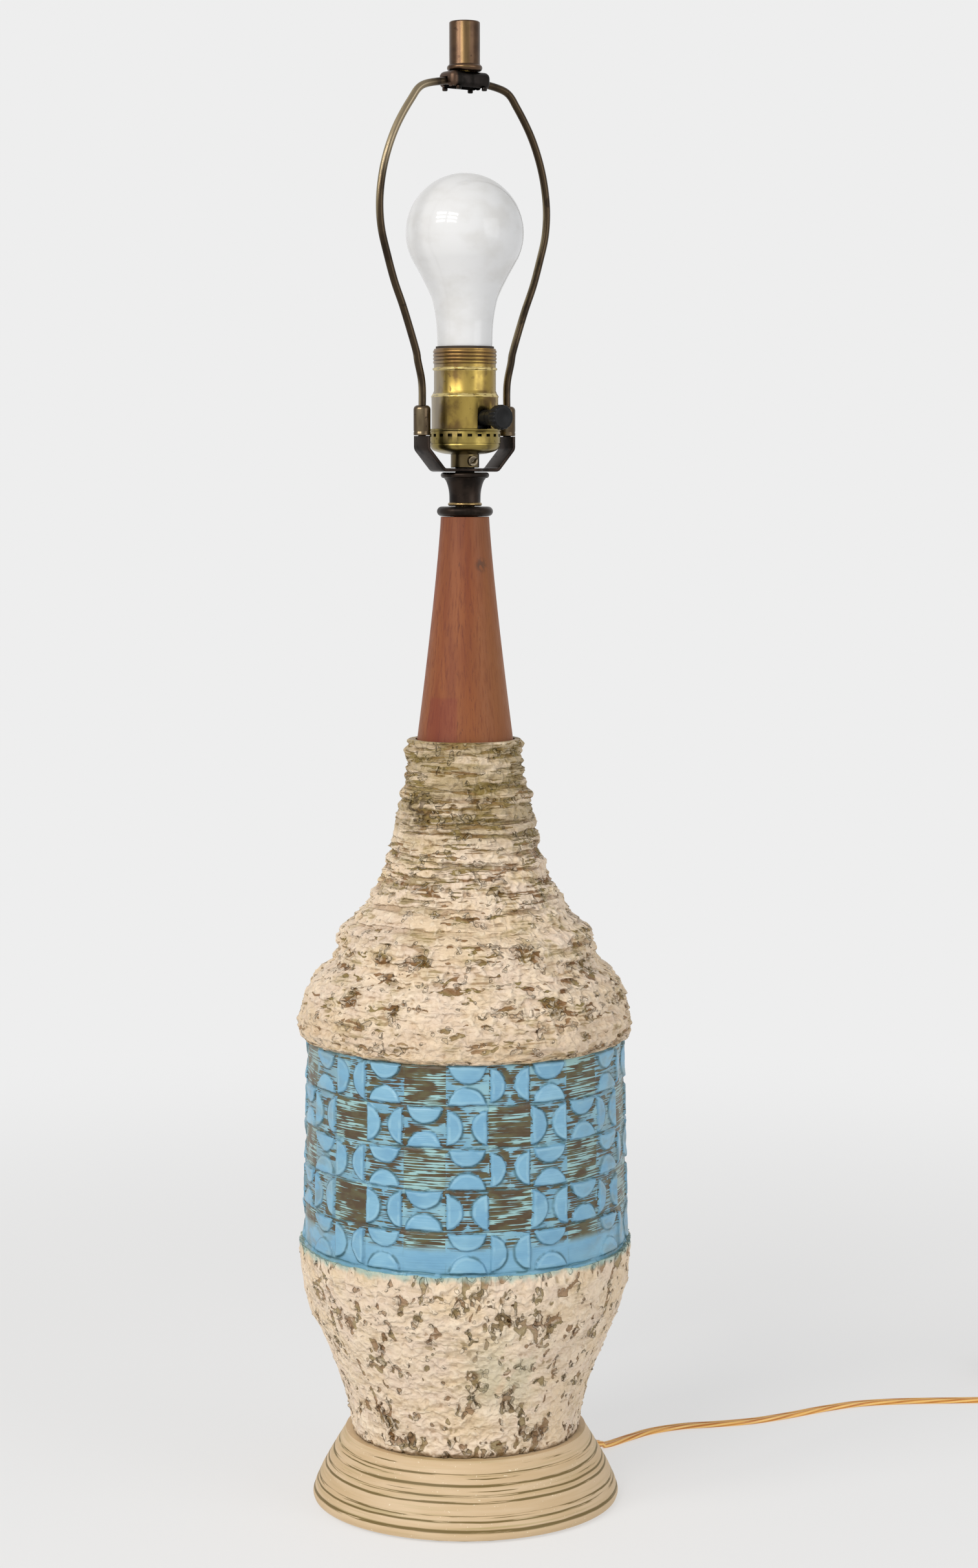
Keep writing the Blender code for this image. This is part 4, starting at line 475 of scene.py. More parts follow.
# Foot: turned wood under smooth matte beige paint. Olive stain was held against it on the lathe,
# which left thin broken rings in shallow grooves, and the paint has small nicks and rubbed edges.
FOOT_SEAT = 0.0015
FOOT_HEIGHT = 0.0365
FOOT_RADIUS = 0.0816
FOOT_TOP_RADIUS = 0.0640
FOOT_WALL = 0.0110
FOOT_WEB = 0.0100
FOOT_STEP = 0.0005
FOOT_OUTLINE_SHARES = [(1.0, 0.0), (0.94, 0.06), (0.72, 0.34), (0.45, 0.66), (0.25, 0.86), (0.12, 0.97),
                       (0.05, 1.0), (0.0, 0.97)]
ROD_HOLE_RADIUS = 0.0055
OLIVE_RINGS = [(0.0351, 0.0004, 0.30), (0.0317, 0.0007, 0.75), (0.0300, 0.0004, 0.35), (0.0269, 0.0009, 1.00),
               (0.0243, 0.0004, 0.30), (0.0223, 0.0007, 0.70), (0.0194, 0.0008, 0.95), (0.0130, 0.0008, 0.50),
               (0.0107, 0.0007, 0.80), (0.0062, 0.0012, 0.90)]
RING_GROOVE = 0.00022
RING_WANDER = 0.0012
VEIL_HEIGHT = 0.0095
CORD_HOLE_DEPTH = 0.0020


def shares_outline(shares, bottom, height, inner, outer):
    """Outline points from shares of a height and of the way from one radius to another."""
    return [(inner + (outer - inner) * across, bottom + height * up) for up, across in shares]


def near(where, turn, height, radius, reach):
    """One close to a place on the lamp, given by its turn from the front and its height, and zero far off."""
    centre = (radius * math.sin(math.radians(turn)), -radius * math.cos(math.radians(turn)), height)
    return where.vector("DISTANCE", centre).ramped(reach, reach * 0.25)


def line_of(value, middle, half_width, soft):
    """One where a value is near the middle of a soft pattern, which draws wandering lines."""
    return abs(value - middle).ramped(half_width + soft, half_width)


def most(first, *others):
    """The greatest of several numbers at each place."""
    for other in others:
        first = first.step("MAXIMUM", other)
    return first


stained_paint = Finish("stained_paint", (205, 181, 146), 0.55)
where = stained_paint.places()
height = where.parts()[2]
level = height + (where.grain(0.03, 0.02) - 0.5) * RING_WANDER
breaks = where.grain(0.040, 0.0012, detail=5, roughness=0.55)
stain = most(*[line_of(level, middle, width * 0.4, width * 0.6)
               * breaks.ramped(0.60 - 0.26 * strength, 0.66 - 0.24 * strength)
               for middle, width, strength in OLIVE_RINGS])
tone = where.grain(0.05, 0.004, detail=3).ramped(0.35, 0.65)
veil = where.grain(0.06, 0.0016, seed=3).ramped(0.50, 0.72)
veil = veil * abs(height - VEIL_HEIGHT).ramped(0.0055, 0.0025, 0.35, 0.65)
nicks = where.grain(0.0016, 0.0011, detail=1, seed=5).ramped(0.73, 0.76)
colour = tone.between((212, 186, 150), (202, 174, 134)).under(
    (veil, (166, 150, 98)), (nicks, (232, 214, 184)), (stain, (110, 90, 40)))
stained_paint.dress(colour, relief=where.grain(0.2, 0.0007, seed=2), depth=0.00012, strength=0.6)
flank = shares_outline(FOOT_OUTLINE_SHARES, FOOT_SEAT, FOOT_HEIGHT, FOOT_TOP_RADIUS, FOOT_RADIUS)
flank = even_line(smooth_line(flank, 8), FOOT_STEP)
for middle, width, strength in OLIVE_RINGS:
    flank[:, 0] -= RING_GROOVE * strength * np.exp(-((flank[:, 1] - middle) / width) ** 2)
ceiling = FOOT_SEAT + FOOT_HEIGHT - FOOT_WEB
cavity_radius = FOOT_RADIUS - FOOT_WALL
inside = [(cavity_radius, FOOT_SEAT), (cavity_radius - FOOT_WALL / 4, (FOOT_SEAT + ceiling) / 2),
          (FOOT_TOP_RADIUS - FOOT_WALL, ceiling), (ROD_HOLE_RADIUS, ceiling),
          (ROD_HOLE_RADIUS, FOOT_SEAT + FOOT_HEIGHT)]
foot = turned("turned_foot", [*flank, *inside], 180, stained_paint)
hole_radius = GROMMET_BORE + GROMMET_WALL + GROMMET_GAP
spot_radius = hole_radius + GROMMET_FLANGE + GROMMET_GAP
stepped = [(0, FOOT_WALL), (spot_radius, FOOT_WALL), (spot_radius, 0), (hole_radius, 0),
           (hole_radius, -2 * FOOT_WALL), (0, -2 * FOOT_WALL)]
cutter = turned("cord_hole", stepped, 48, stained_paint)
stood(cutter, along_axis(exit_place - exit_way * CORD_HOLE_DEPTH, exit_way))
cut(foot, cutter)
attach(foot, "root")
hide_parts("base_foot")

# Ceramic body: a thrown and pressed stoneware bottle under a thick frothing glaze. Below and above,
# the cream glaze dried in ridges, crumbs and pits, and olive brown stain stayed in whatever lies low.
# It is one fired piece, made here as three closed skins: lower lava, pressed band and upper lava.
BODY_SEAT = 0.0383
BAND_LOW = 0.1383
BAND_TOP = 0.2463
BODY_TOP = 0.4063
BODY_FOOT_RADIUS = 0.0606
BODY_BELT_RADIUS = 0.0886
BAND_LOW_RADIUS = 0.0854
BAND_TOP_RADIUS = 0.0830
SHOULDER_RADIUS = 0.0872
LIP_RADIUS = 0.0290
SKIN_DEPTH = 0.0050
NECK_RECESS_RADIUS = 0.0261
NECK_RECESS_DEPTH = 0.0055
LOWER_OUTLINE_SHARES = [(1.0, 1.0), (0.93, 0.97), (0.80, 0.88), (0.64, 0.72), (0.50, 0.50), (0.35, 0.28),
                        (0.18, 0.12), (0.0, 0.0)]
UPPER_OUTLINE_SHARES = [(1.0, 0.0), (0.86, 0.06), (0.70, 0.145), (0.60, 0.21), (0.53, 0.29), (0.47, 0.38),
                        (0.41, 0.51), (0.37, 0.63), (0.28, 0.70), (0.22, 0.87), (0.15, 0.955), (0.06, 1.0),
                        (0.0, 0.955)]
LAVA_STEP = 0.00095
LAVA_BUMP_DEPTH = 0.0030
LAVA_BUMP_SHARES = {"pit": -0.45, "crumb": 0.9, "comb": 0.6, "bank": 0.35, "worm": -0.5, "dash": -0.40}
LOWER_EDGE_REACH = 0.004
UPPER_EDGE_REACH = 0.005
LIP_FADE = 0.004
LIP_SKIN_SHARE = 0.25
LAVA_RADII = [(0.0383, 0.062), (0.1383, 0.088), (0.25, 0.086), (0.28, 0.084), (0.30, 0.068), (0.32, 0.053),
              (0.35, 0.040), (0.40, 0.030)]
LOWER_DARK_PLACES = [(-36, 0.051, 0.011), (34, 0.049, 0.012), (15, 0.118, 0.013), (33, 0.113, 0.010),
                     (-23, 0.127, 0.008), (21, 0.066, 0.009), (-25, 0.047, 0.009), (-150, 0.060, 0.014),
                     (120, 0.110, 0.012), (170, 0.052, 0.014), (-95, 0.100, 0.011), (80, 0.070, 0.012)]
UPPER_DARK_PLACES = [(-52, 0.376, 0.008), (-38, 0.368, 0.008), (-24, 0.333, 0.009), (20, 0.332, 0.008),
                     (-38, 0.300, 0.008), (-18, 0.299, 0.008), (30, 0.302, 0.011), (76, 0.306, 0.009),
                     (18, 0.277, 0.009), (34, 0.276, 0.009), (-25, 0.276, 0.008), (-45, 0.281, 0.010),
                     (150, 0.370, 0.012), (-120, 0.330, 0.011), (110, 0.290, 0.012), (-160, 0.280, 0.014),
                     (-4, 0.258, 0.007), (17, 0.378, 0.012)]
LOWER_LAVA = {"seed": 1, "worm_sizes": (0.0060, 0.0105), "chip_level": 0.620, "comb_size": 0.012,
              "crumb_share": 0.35, "pit_start": -0.23, "comb_from": 1.0, "dash_sizes": (0.0056, 0.0088),
              "clump_sizes": (0.012, 0.017), "dark_places": LOWER_DARK_PLACES}
UPPER_LAVA = {"seed": 2, "worm_sizes": (0.0070, 0.0050), "chip_level": 0.615, "comb_size": 0.0034,
              "crumb_share": 0.50, "pit_start": -0.34, "comb_from": 0.335, "dash_sizes": (0.0088, 0.0021),
              "clump_sizes": (0.026, 0.0064), "dark_places": UPPER_DARK_PLACES}
LOWER_RELIEF = {"Swell height": 0.0040, "Comb height": 0.0014, "Crumb height": 0.0030, "Pit depth": 0.0013,
                "Worm depth": 0.0010, "Bank height": 0.0008, "Dash depth": 0.0009, "Edge drip": 0.0030,
                "Edge lift": 0.0026}
UPPER_RELIEF = {"Swell height": 0.0050, "Comb height": 0.0070, "Crumb height": 0.0042, "Pit depth": 0.0012,
                "Worm depth": 0.0006, "Bank height": 0.0005, "Dash depth": 0.0009, "Edge drip": 0.0030,
                "Edge lift": 0.0032}


def lava_marks(where, seed, worm_sizes, chip_level, comb_size, crumb_share, pit_start, comb_from, dash_sizes,
               clump_sizes, dark_places):
    """Patterns of the lava from 0 to 1, and how dark the stain is at a place.

    The same steps shape the mesh and colour it, so that the stain lies in the hollows.
    """
    jitter = place(where.tree, "ShaderNodeTexNoise", {"Vector": where, "Scale": 1 / 0.0065, "Detail": 2.0})
    sway = Pattern(jitter, 1).vector("SUBTRACT", (0.5, 0.5, 0.5))
    swayed = sway.vector("MULTIPLY_ADD", (0.0050,) * 3, where)
    dragged = sway.vector("MULTIPLY_ADD", (0.0018,) * 3, where)
    comb = dragged.grain(0.045, comb_size, detail=2.5, roughness=0.55, seed=seed)
    crumb = swayed.grain(0.0040, 0.0030, detail=1, seed=seed + 1)
    crumb_zone = where.grain(0.045, 0.028, detail=1, seed=seed + 2)
    crumb_zone = crumb_zone.ramped(0.56 - 0.20 * crumb_share, 0.66 - 0.20 * crumb_share)
    dark = most(*[near(where, turn, height, np.interp(height, *zip(*LAVA_RADII)), reach)
                  for turn, height, reach in dark_places])
    clumps = dark * 0.20 + where.grain(*clump_sizes, seed=seed + 3)
    crowd = clumps - 0.5
    worms = swayed.grain(*worm_sizes, detail=1, seed=seed + 4)
    chips = crowd * 0.55 + where.grain(0.0052, 0.0058, detail=1, seed=seed + 5)
    here = chips.ramped(chip_level, chip_level + 0.04)
    worm = line_of(worms, 0.5, 0.045, 0.045) * here
    bank = line_of(worms, 0.5, 0.10, 0.10) * here * (1 - worm)
    scaled = swayed.vector("MULTIPLY", (1 / 0.0062, 1 / 0.0062, 1 / 0.0046))
    cells = place(where.tree, "ShaderNodeTexVoronoi", {"Vector": scaled, "Scale": 1.0})
    size = crowd * 0.9 + (Pattern(cells, "Color").parts()[0] * 0.34 + pit_start)
    pit = (Pattern(cells, "Distance") - size).ramped(0.05, -0.05)
    combed = where.parts()[2].ramped(comb_from - 0.050, comb_from + 0.012)
    short = swayed.grain(*dash_sizes, detail=1, seed=seed + 6)
    long = combed * -0.060 + dragged.grain(0.016, 0.0015, detail=2.5, seed=seed + 7)
    dash = crowd * -0.70 + (short * (1 - combed) + long * combed)
    dash = most(dash.ramped(0.362, 0.345), comb.ramped(0.46, 0.38) * combed * 0.75)
    return {"comb": comb, "crumb": crumb, "crumb_zone": crumb_zone, "worm": worm, "bank": bank, "pit": pit,
            "dash": dash, "dark": dark, "clumps": clumps}


def new_tree(name, kind, inputs, outputs):
    """A new node tree with named sockets, and its inputs by their names."""
    tree = bpy.data.node_groups.new(name, kind)
    for way, sockets in (("INPUT", inputs), ("OUTPUT", outputs)):
        for socket, value_kind in sockets.items():
            tree.interface.new_socket(socket, in_out=way, socket_type="NodeSocket" + value_kind)
    given = place(tree, "NodeGroupInput")
    return tree, {socket: Pattern(given, socket) for socket in inputs}


def end_tree(tree, geometry, material):
    """End a geometry tree: real meshes in their material."""
    real = Pattern(place(tree, "GeometryNodeRealizeInstances", {"Geometry": geometry}))
    coated = place(tree, "GeometryNodeSetMaterial", {"Geometry": real, "Material": material})
    place(tree, "NodeGroupOutput", {0: Pattern(coated)})
    return tree


def relief_tree(name, size_names, raised):
    """Geometry nodes that raise a piece's skin, and keep where each point of the clay was before.

    The function raised gives how far a point goes out, and how far its edge goes up, in named sizes.
    """
    inputs = {"Geometry": "Geometry", **dict.fromkeys(size_names, "Float"), "Material": "Material"}
    tree, given = new_tree(name, "GeometryNodeTree", inputs, {"Geometry": "Geometry"})
    where = Pattern(place(tree, "GeometryNodeInputPosition"))
    kept = place(tree, "GeometryNodeStoreNamedAttribute",
                 {"Geometry": given["Geometry"], "Name": "clay", "Value": where},
                 data_type="FLOAT_VECTOR", domain="POINT")
    skin, edge = [Pattern(place(tree, "GeometryNodeInputNamedAttribute", {"Name": mark}, data_type="FLOAT"))
                  for mark in ("skin", "edge")]
    out, up = raised(where, given)
    outward = where.vector("MULTIPLY", (1, 1, 0)).vector("NORMALIZE")
    rise = Pattern(place(tree, "ShaderNodeCombineXYZ", {2: edge * up}))
    move = outward.vector("MULTIPLY", out * skin).vector("ADD", rise)
    moved = place(tree, "GeometryNodeSetPosition", {"Geometry": Pattern(kept), "Offset": move})
    return end_tree(tree, Pattern(moved), given["Material"])


def worked(piece, tree, finish, values):
    """Run a geometry tree on a piece, and keep the result as its plain mesh."""
    modifier = piece.modifiers.new(tree.name, "NODES")
    modifier.node_group = tree
    sockets = {item.name: item.identifier for item in tree.interface.items_tree if item.in_out == "INPUT"}
    for name, value in [*values.items(), ("Material", finish.material)]:
        modifier[sockets[name]] = value
    keep_result(piece)
    piece.data.shade_smooth()


def raise_lava(piece, finish, lava, relief):
    """Raise a lava skin by the patterns that its glaze shows."""
    def raised(where, sizes):
        marks = lava_marks(where, **lava)
        crumb_heights = (marks["crumb"] - 0.5) * sizes["Crumb height"]
        height = (where.grain(0.028, 0.022, detail=1, seed=4) - 0.5) * sizes["Swell height"]
        height = height + (marks["comb"] - 0.5) * sizes["Comb height"]
        height = height + crumb_heights * marks["crumb_zone"].ramped(0, 1, 0.45, 1.0)
        height = height + marks["bank"] * sizes["Bank height"]
        for mark in ("pit", "worm", "dash"):
            height = height - marks[mark] * sizes[mark.title() + " depth"]
        drips = where.grain(0.011, detail=3, seed=9) - 0.5
        return height, drips * sizes["Edge drip"] + sizes["Edge lift"]

    worked(piece, relief_tree(piece.name + "_relief", relief, raised), finish, relief)


def lava_glaze(name, lava, brushed_share, worm_share, dash_share):
    """Cream glaze with olive and brown stain where the surface lies low, a painted highlight on its crests
    and rims, and painted shade in its other hollows.
    """
    glaze = Finish(name, (214, 190, 160), 0.46, specular_ior_level=0.28)
    where = glaze.kept("clay", "Vector")
    marks = lava_marks(where, **lava)
    pit, clumps, crumb, bank = [marks[mark] for mark in ("pit", "clumps", "crumb", "bank")]
    cream = where.grain(0.016, 0.011, detail=3).ramped(0.36, 0.64).between((238, 217, 190), (229, 207, 184))
    warm = where.grain(0.030, 0.018, seed=15).ramped(0.46, 0.64)
    speckle = where.grain(0.0013, 0.0010, detail=3, seed=2).ramped(0.56, 0.78, 0, 0.30)
    patch = most(where.grain(0.017, 0.0085, seed=6).ramped(0.54, 0.61), marks["dark"]) * brushed_share
    brushed = where.grain(0.013, 0.0011, detail=3, roughness=0.6, seed=8).ramped(0.50, 0.56) * patch
    low_crumb = ((clumps - 0.5) * -0.35 + crumb).ramped(0.355, 0.315) * marks["crumb_zone"]
    stain = most(low_crumb * 0.5, brushed * 0.75, marks["worm"] * worm_share, marks["dash"] * dash_share)
    hue = where.grain(0.012, 0.008, detail=1, seed=13).ramped(0.42, 0.58)
    deep = clumps.ramped(0.57, 0.74) * most(pit, stain)
    # Painted highlight on the crests and rims of the relief, where the glaze is also thinner, and painted
    # shade in the hollows that the stain misses.
    bright = most(bank * 0.5, crumb.ramped(0.58, 0.68, 0, 0.35))
    low = crumb.ramped(0.45, 0.36, 0, 0.22) * (1 - stain)
    colour = cream.under(
        (warm, (230, 206, 174)), (speckle, (196, 168, 134)), (patch * 0.35, (186, 166, 108)),
        (stain, hue.between((126, 106, 36), (130, 86, 32))), (pit * 0.85, (142, 98, 44)),
        (deep * 0.65, (112, 76, 32)), (bright, (248, 232, 208)), (low, (186, 156, 116)))
    height = where.grain(0.0016, 0.0011, detail=4, roughness=0.6, seed=12) * 0.14
    for mark, share in LAVA_BUMP_SHARES.items():
        height = height + marks[mark] * share
    glaze.dress(colour, relief=height, depth=LAVA_BUMP_DEPTH)
    return glaze, where


def lava_skin(name, outside, inside, edge_height, edge_reach, sides, glaze):
    """A turned skin with its outside evenly stepped, which keeps what part of it has relief or drips."""
    outside = even_line(smooth_line(outside, 8), LAVA_STEP)
    bare = [0.0] * len(inside)
    skin = [min(1.0, max(0.0, (BODY_TOP - height) / LIP_FADE + LIP_SKIN_SHARE)) for _, height in outside]
    edge = [max(0.0, 1 - abs(height - edge_height) / edge_reach) for _, height in outside]
    return turned(name, [*outside, *inside], sides, glaze, skin=skin + bare, edge=edge + bare)


lower = shares_outline(LOWER_OUTLINE_SHARES, BODY_SEAT, BAND_LOW - BODY_SEAT, BODY_FOOT_RADIUS,
                       BODY_BELT_RADIUS)
lower_inside = [(radius - SKIN_DEPTH, height) for radius, height in lower[::-1]]
lower_inside[-1] = (BAND_LOW_RADIUS - SKIN_DEPTH, BAND_LOW)
glaze, where = lava_glaze("lower_lava_glaze", LOWER_LAVA, 0.30, 0.62, 0.70)
ragged = where.parts()[2] + where.grain(0.006, detail=3, seed=21) * 0.006
sage = near(where, 17, 0.086, 0.075, 0.034) * where.grain(0.012, detail=3, seed=22).ramped(0.40, 0.55)
# Darker brown low on the lower lava where it sits on the foot: stain in the glaze, and painted shade at the
# joint.
glaze.overlay((ragged.ramped(BODY_SEAT + 0.0058, BODY_SEAT + 0.0030, 0, 0.85), (106, 80, 44)),
              (ragged.ramped(BAND_LOW + 0.0005, BAND_LOW + 0.0030, 0, 0.75), (160, 192, 182)),
              (sage * 0.6, (212, 204, 174)))
lower_lava = lava_skin("lower_lava", lower, lower_inside, BAND_LOW, LOWER_EDGE_REACH, 560, glaze)
raise_lava(lower_lava, glaze, LOWER_LAVA, LOWER_RELIEF)
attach(lower_lava, "root")

upper = shares_outline(UPPER_OUTLINE_SHARES, BAND_TOP, BODY_TOP - BAND_TOP, LIP_RADIUS, SHOULDER_RADIUS)
recess_floor = BODY_TOP - NECK_RECESS_DEPTH
upper_inside = [(radius - SKIN_DEPTH, height) for radius, height in upper[:3:-1]]
upper_inside[0] = (BAND_TOP_RADIUS - SKIN_DEPTH, BAND_TOP)
upper_inside += [(ROD_HOLE_RADIUS, recess_floor - 2 * SKIN_DEPTH), (ROD_HOLE_RADIUS, recess_floor),
                 (NECK_RECESS_RADIUS, recess_floor), (NECK_RECESS_RADIUS, BODY_TOP)]
glaze, where = lava_glaze("upper_lava_glaze", UPPER_LAVA, 0.8, 0.35, 0.85)
height = where.parts()[2]
greener = where.grain(0.03, 0.003, detail=3, seed=23).ramped(0.36, 0.52, 0.4, 1.0)
burnt = near(where, -46, 0.3715, 0.036, 0.013) * where.grain(0.0036, 0.0028, seed=24).ramped(0.46, 0.54)
glaze.overlay((height.ramped(0.342, 0.372, 0, 0.64) * greener, (138, 118, 64)),
              (height.ramped(BAND_TOP + 0.030, BAND_TOP + 0.008, 0, 0.30), (196, 168, 132)),
              (burnt * 0.8, (76, 58, 36)))
upper_lava = lava_skin("upper_lava", upper, upper_inside, BAND_TOP, UPPER_EDGE_REACH, 460, glaze)
raise_lava(upper_lava, glaze, UPPER_LAVA, UPPER_RELIEF)
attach(upper_lava, "root")

# Blue band: pressed into the clay in a grid of five rows and twenty-four columns. Pairs of half
# discs face each other sideways or upright, and every fourth field stays bare. Thin blue glaze was
# dragged round over brown stain, so that it covers the discs and breaks up into streaks between them.
BAND_LAP = 0.0060
BAND_TUCK = 0.0030
BAND_STEP = 0.00088
COLUMNS = 24
COLUMN_START = math.radians(-6.4)
ROWS_LOW = 0.1416
ROW_HEIGHT = 0.02142
COLUMN_WIDTH = 0.0221
SIDE_DISC_RADIUS = 0.0093
UPRIGHT_DISC_RADIUS = 0.0095
DISC_MARGIN = 0.0006
BAND_RELIEF = {"Arc step": 0.0005, "Disc tilt": 0.0009, "Line depth": 0.0006, "Roughness": 0.0009}


def disc_marks(where):
    """Patterns of the band: depth inside a half disc, its tilt, the pressed lines and the streaks."""
    x, y, height = where.parts()
    wobble = place(where.tree, "ShaderNodeTexNoise", {"Vector": where, "Scale": 1 / 0.009, "Detail": 2.0})
    sway = Pattern(wobble, 1).parts()
    turn = x.step("ARCTAN2", y * -1)
    column = (turn - COLUMN_START) * (COLUMNS / math.tau) + (sway[0] * 0.07 - 0.035)
    row = (height - ROWS_LOW) * (1 / ROW_HEIGHT) + (sway[1] * 0.09 - 0.045)
    column_number = column.step("FLOOR")
    row_number = row.step("FLOOR")
    cell = Pattern(place(where.tree, "ShaderNodeCombineXYZ", {0: column_number, 1: row_number}))
    chance = Pattern(place(where.tree, "ShaderNodeTexWhiteNoise", {0: cell}, noise_dimensions="3D"), "Value")
    across = abs((column - column_number - 0.5) * COLUMN_WIDTH)
    up = abs((row - row_number - 0.5) * ROW_HEIGHT)
    kind = (column_number + 3).step("FLOORED_MODULO", 4)
    odd_column = kind.step("FLOORED_MODULO", 2)
    odd_row = row_number.step("FLOORED_MODULO", 2)
    sideways = odd_row * odd_column + (1 - odd_row) * kind.step("COMPARE", 0, 0.5)
    upright = (1 - odd_row) * odd_column + odd_row * kind.step("COMPARE", 2, 0.5)
    bare = 1 - (sideways + upright)

    def half_disc(out, along, half, radius):
        """How far a place lies inside a half disc whose flat side is on the field's edge."""
        from_edge = half - out
        reach = (from_edge * from_edge + along * along).step("SQRT")
        inside = chance * 0.0010 - 0.0005 + radius - reach
        return inside.step("MINIMUM", from_edge - DISC_MARGIN), from_edge

    side_depth, side_edge = half_disc(across, up, COLUMN_WIDTH / 2, SIDE_DISC_RADIUS)
    stood_depth, stood_edge = half_disc(up, across, ROW_HEIGHT / 2, UPRIGHT_DISC_RADIUS)
    return {"depth": bare * -0.004 + (sideways * side_depth + upright * stood_depth),
            "from_edge": sideways * side_edge + upright * stood_edge, "row_line": ROW_HEIGHT / 2 - up,
            "column_line": COLUMN_WIDTH / 2 - across, "chance": chance, "bare": bare, "row": row,
            "height": height, "turn": turn}


def raised_discs(where, sizes):
    """How far the band's points go out, for its half discs and its grid."""
    marks = disc_marks(where)
    tilt = marks["from_edge"].ramped(SIDE_DISC_RADIUS, 0.0) * sizes["Disc tilt"]
    height = (tilt + sizes["Arc step"]) * marks["depth"].ramped(-0.0004, 0.0007)
    height = height - marks["row_line"].ramped(0.0009, 0.0) * sizes["Line depth"]
    return height + (where.grain(0.007, 0.004, detail=3) - 0.5) * sizes["Roughness"], 0.0


blue_glaze = Finish("blue_band_glaze", (112, 174, 210), 0.36, specular_ior_level=0.4)
where = blue_glaze.kept("clay", "Vector")
marks = disc_marks(where)
depth, bare, row_line = marks["depth"], marks["bare"], marks["row_line"]
streaks = where.grain(0.020, 0.00075, detail=1)
drag = where.grain(0.012, 0.006, seed=3)
cover = (streaks * 1.5 - 0.75) + (drag * 1.1 - 0.565) + (marks["chance"] * 0.14 - 0.05) + bare * -0.09
cover = cover + (1 - bare) * depth.ramped(-0.0026, -0.0050, 0, 0.26)
disc_cover = (where.grain(0.006, 0.0009, seed=5) * 0.0030 + (depth - 0.0013)).ramped(-0.0001, 0.0003)
solid_blue = most(disc_cover, marks["row"].ramped(0.72, 0.50))
cover = most(cover.ramped(-0.03, 0.05), solid_blue)
stain = where.grain(0.010, 0.004, seed=7).ramped(0.40, 0.60).between((80, 64, 42), (92, 86, 58))
blue_tone = where.grain(0.018, 0.010, detail=3, seed=9)
thick = blue_tone.ramped(0.3, 0.7).between((114, 164, 194), (132, 180, 204))
blue = blue_tone.ramped(0.35, 0.65).between((142, 184, 196), (116, 164, 188)).under(
    (bare * 0.7, (162, 200, 194)), (solid_blue, thick))
uneven = where.grain(0.008, detail=3, seed=11).ramped(0.44, 0.58)
# The pressed lines round the discs, between rows and between columns are darker: glaze lies thicker in them,
# and they carry painted shade.
arc_line = abs(depth).ramped(0.0013, 0.0002, 0, 0.60)
arc_line = arc_line * marks["from_edge"].ramped(DISC_MARGIN * 2, DISC_MARGIN * 4) * uneven
# Painted highlight along the inside of each disc's arc.
arc_highlight = abs(depth - 0.0016).ramped(0.0010, 0.0002, 0, 0.40) * drag.ramped(0.42, 0.60)
row_groove = row_line.ramped(0.0009, 0.0001, 0, 0.62) * uneven.ramped(0, 1, 0.12, 1)
# Painted shade: the band turns greyer and darker towards its left and right sides.
dull_and_side_shade = (marks["turn"] * 2).step("COSINE").ramped(0.35, -0.9, 0, 0.55) * drag.ramped(0.42, 0.62)
rim_blue = marks["height"].ramped(ROWS_LOW - 0.0002, ROWS_LOW - 0.0030)
colour = stain.under(
    (cover, blue), (arc_line, (70, 104, 108)), (arc_highlight, (158, 200, 216)), (row_groove, (80, 122, 128)),
    (marks["column_line"].ramped(0.0006, 0.0001, 0, 0.16) * uneven, (78, 108, 96)), (dull_and_side_shade, (124, 138, 132)),
    (rim_blue * 0.6, (140, 190, 188)))
relief = streaks * 0.25 + cover * 0.35 + depth.ramped(-0.0005, 0.0008) * 1.1 + row_groove * -0.8
blue_glaze.dress(colour, relief=relief, depth=0.0008, strength=0.9)
skin_top = BAND_TOP + BAND_LAP
skin_low = BAND_LOW - BAND_LAP
outside = even_line([(BAND_TOP_RADIUS - BAND_TUCK / 2, skin_top), (BAND_TOP_RADIUS, BAND_TOP),
                     (BAND_LOW_RADIUS, BAND_LOW), (BAND_LOW_RADIUS - BAND_TUCK, skin_low)], BAND_STEP)
inside = [(BAND_LOW_RADIUS - SKIN_DEPTH, skin_low), (BAND_TOP_RADIUS - SKIN_DEPTH, skin_top)]
blue_band = turned("blue_band", [*outside, *inside], 640, blue_glaze, skin=[1.0] * len(outside) + [0.0] * 2)
worked(blue_band, relief_tree("pressed_discs", BAND_RELIEF, raised_discs), blue_glaze, BAND_RELIEF)
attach(blue_band, "root")
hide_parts("ceramic_body")

# Neck: one turned piece of reddish softwood with a thin wax finish and its grain upright. It has a
# small knot on the right and a darker patch low on the left.
NECK_SEAT = 0.4011
NECK_HEIGHT = 0.1210
NECK_FOOT_RADIUS = 0.0258
NECK_TOP_RADIUS = 0.0126
NECK_TAPER_POWER = 1.2
NECK_STEPS = 40
waxed_wood = Finish("waxed_wood", (132, 74, 48), 0.5, specular_ior_level=0.3)
where = waxed_wood.places()
x, y, height = where.parts()
turn = x.step("ARCTAN2", y * -1)
fibres = where.grain(0.0011, 0.030, detail=4, roughness=0.6, seed=2)
knot = near(where, 37, 0.4974, 0.0146, 0.0050) * where.grain(0.0016, 0.0022, seed=8).ramped(0.40, 0.50)
patch = turn.ramped(math.radians(-56), math.radians(-50)) * turn.ramped(math.radians(-8), math.radians(-12))
bands = where.grain(0.006, 0.16, detail=3, roughness=0.55).ramped(0.36, 0.64)
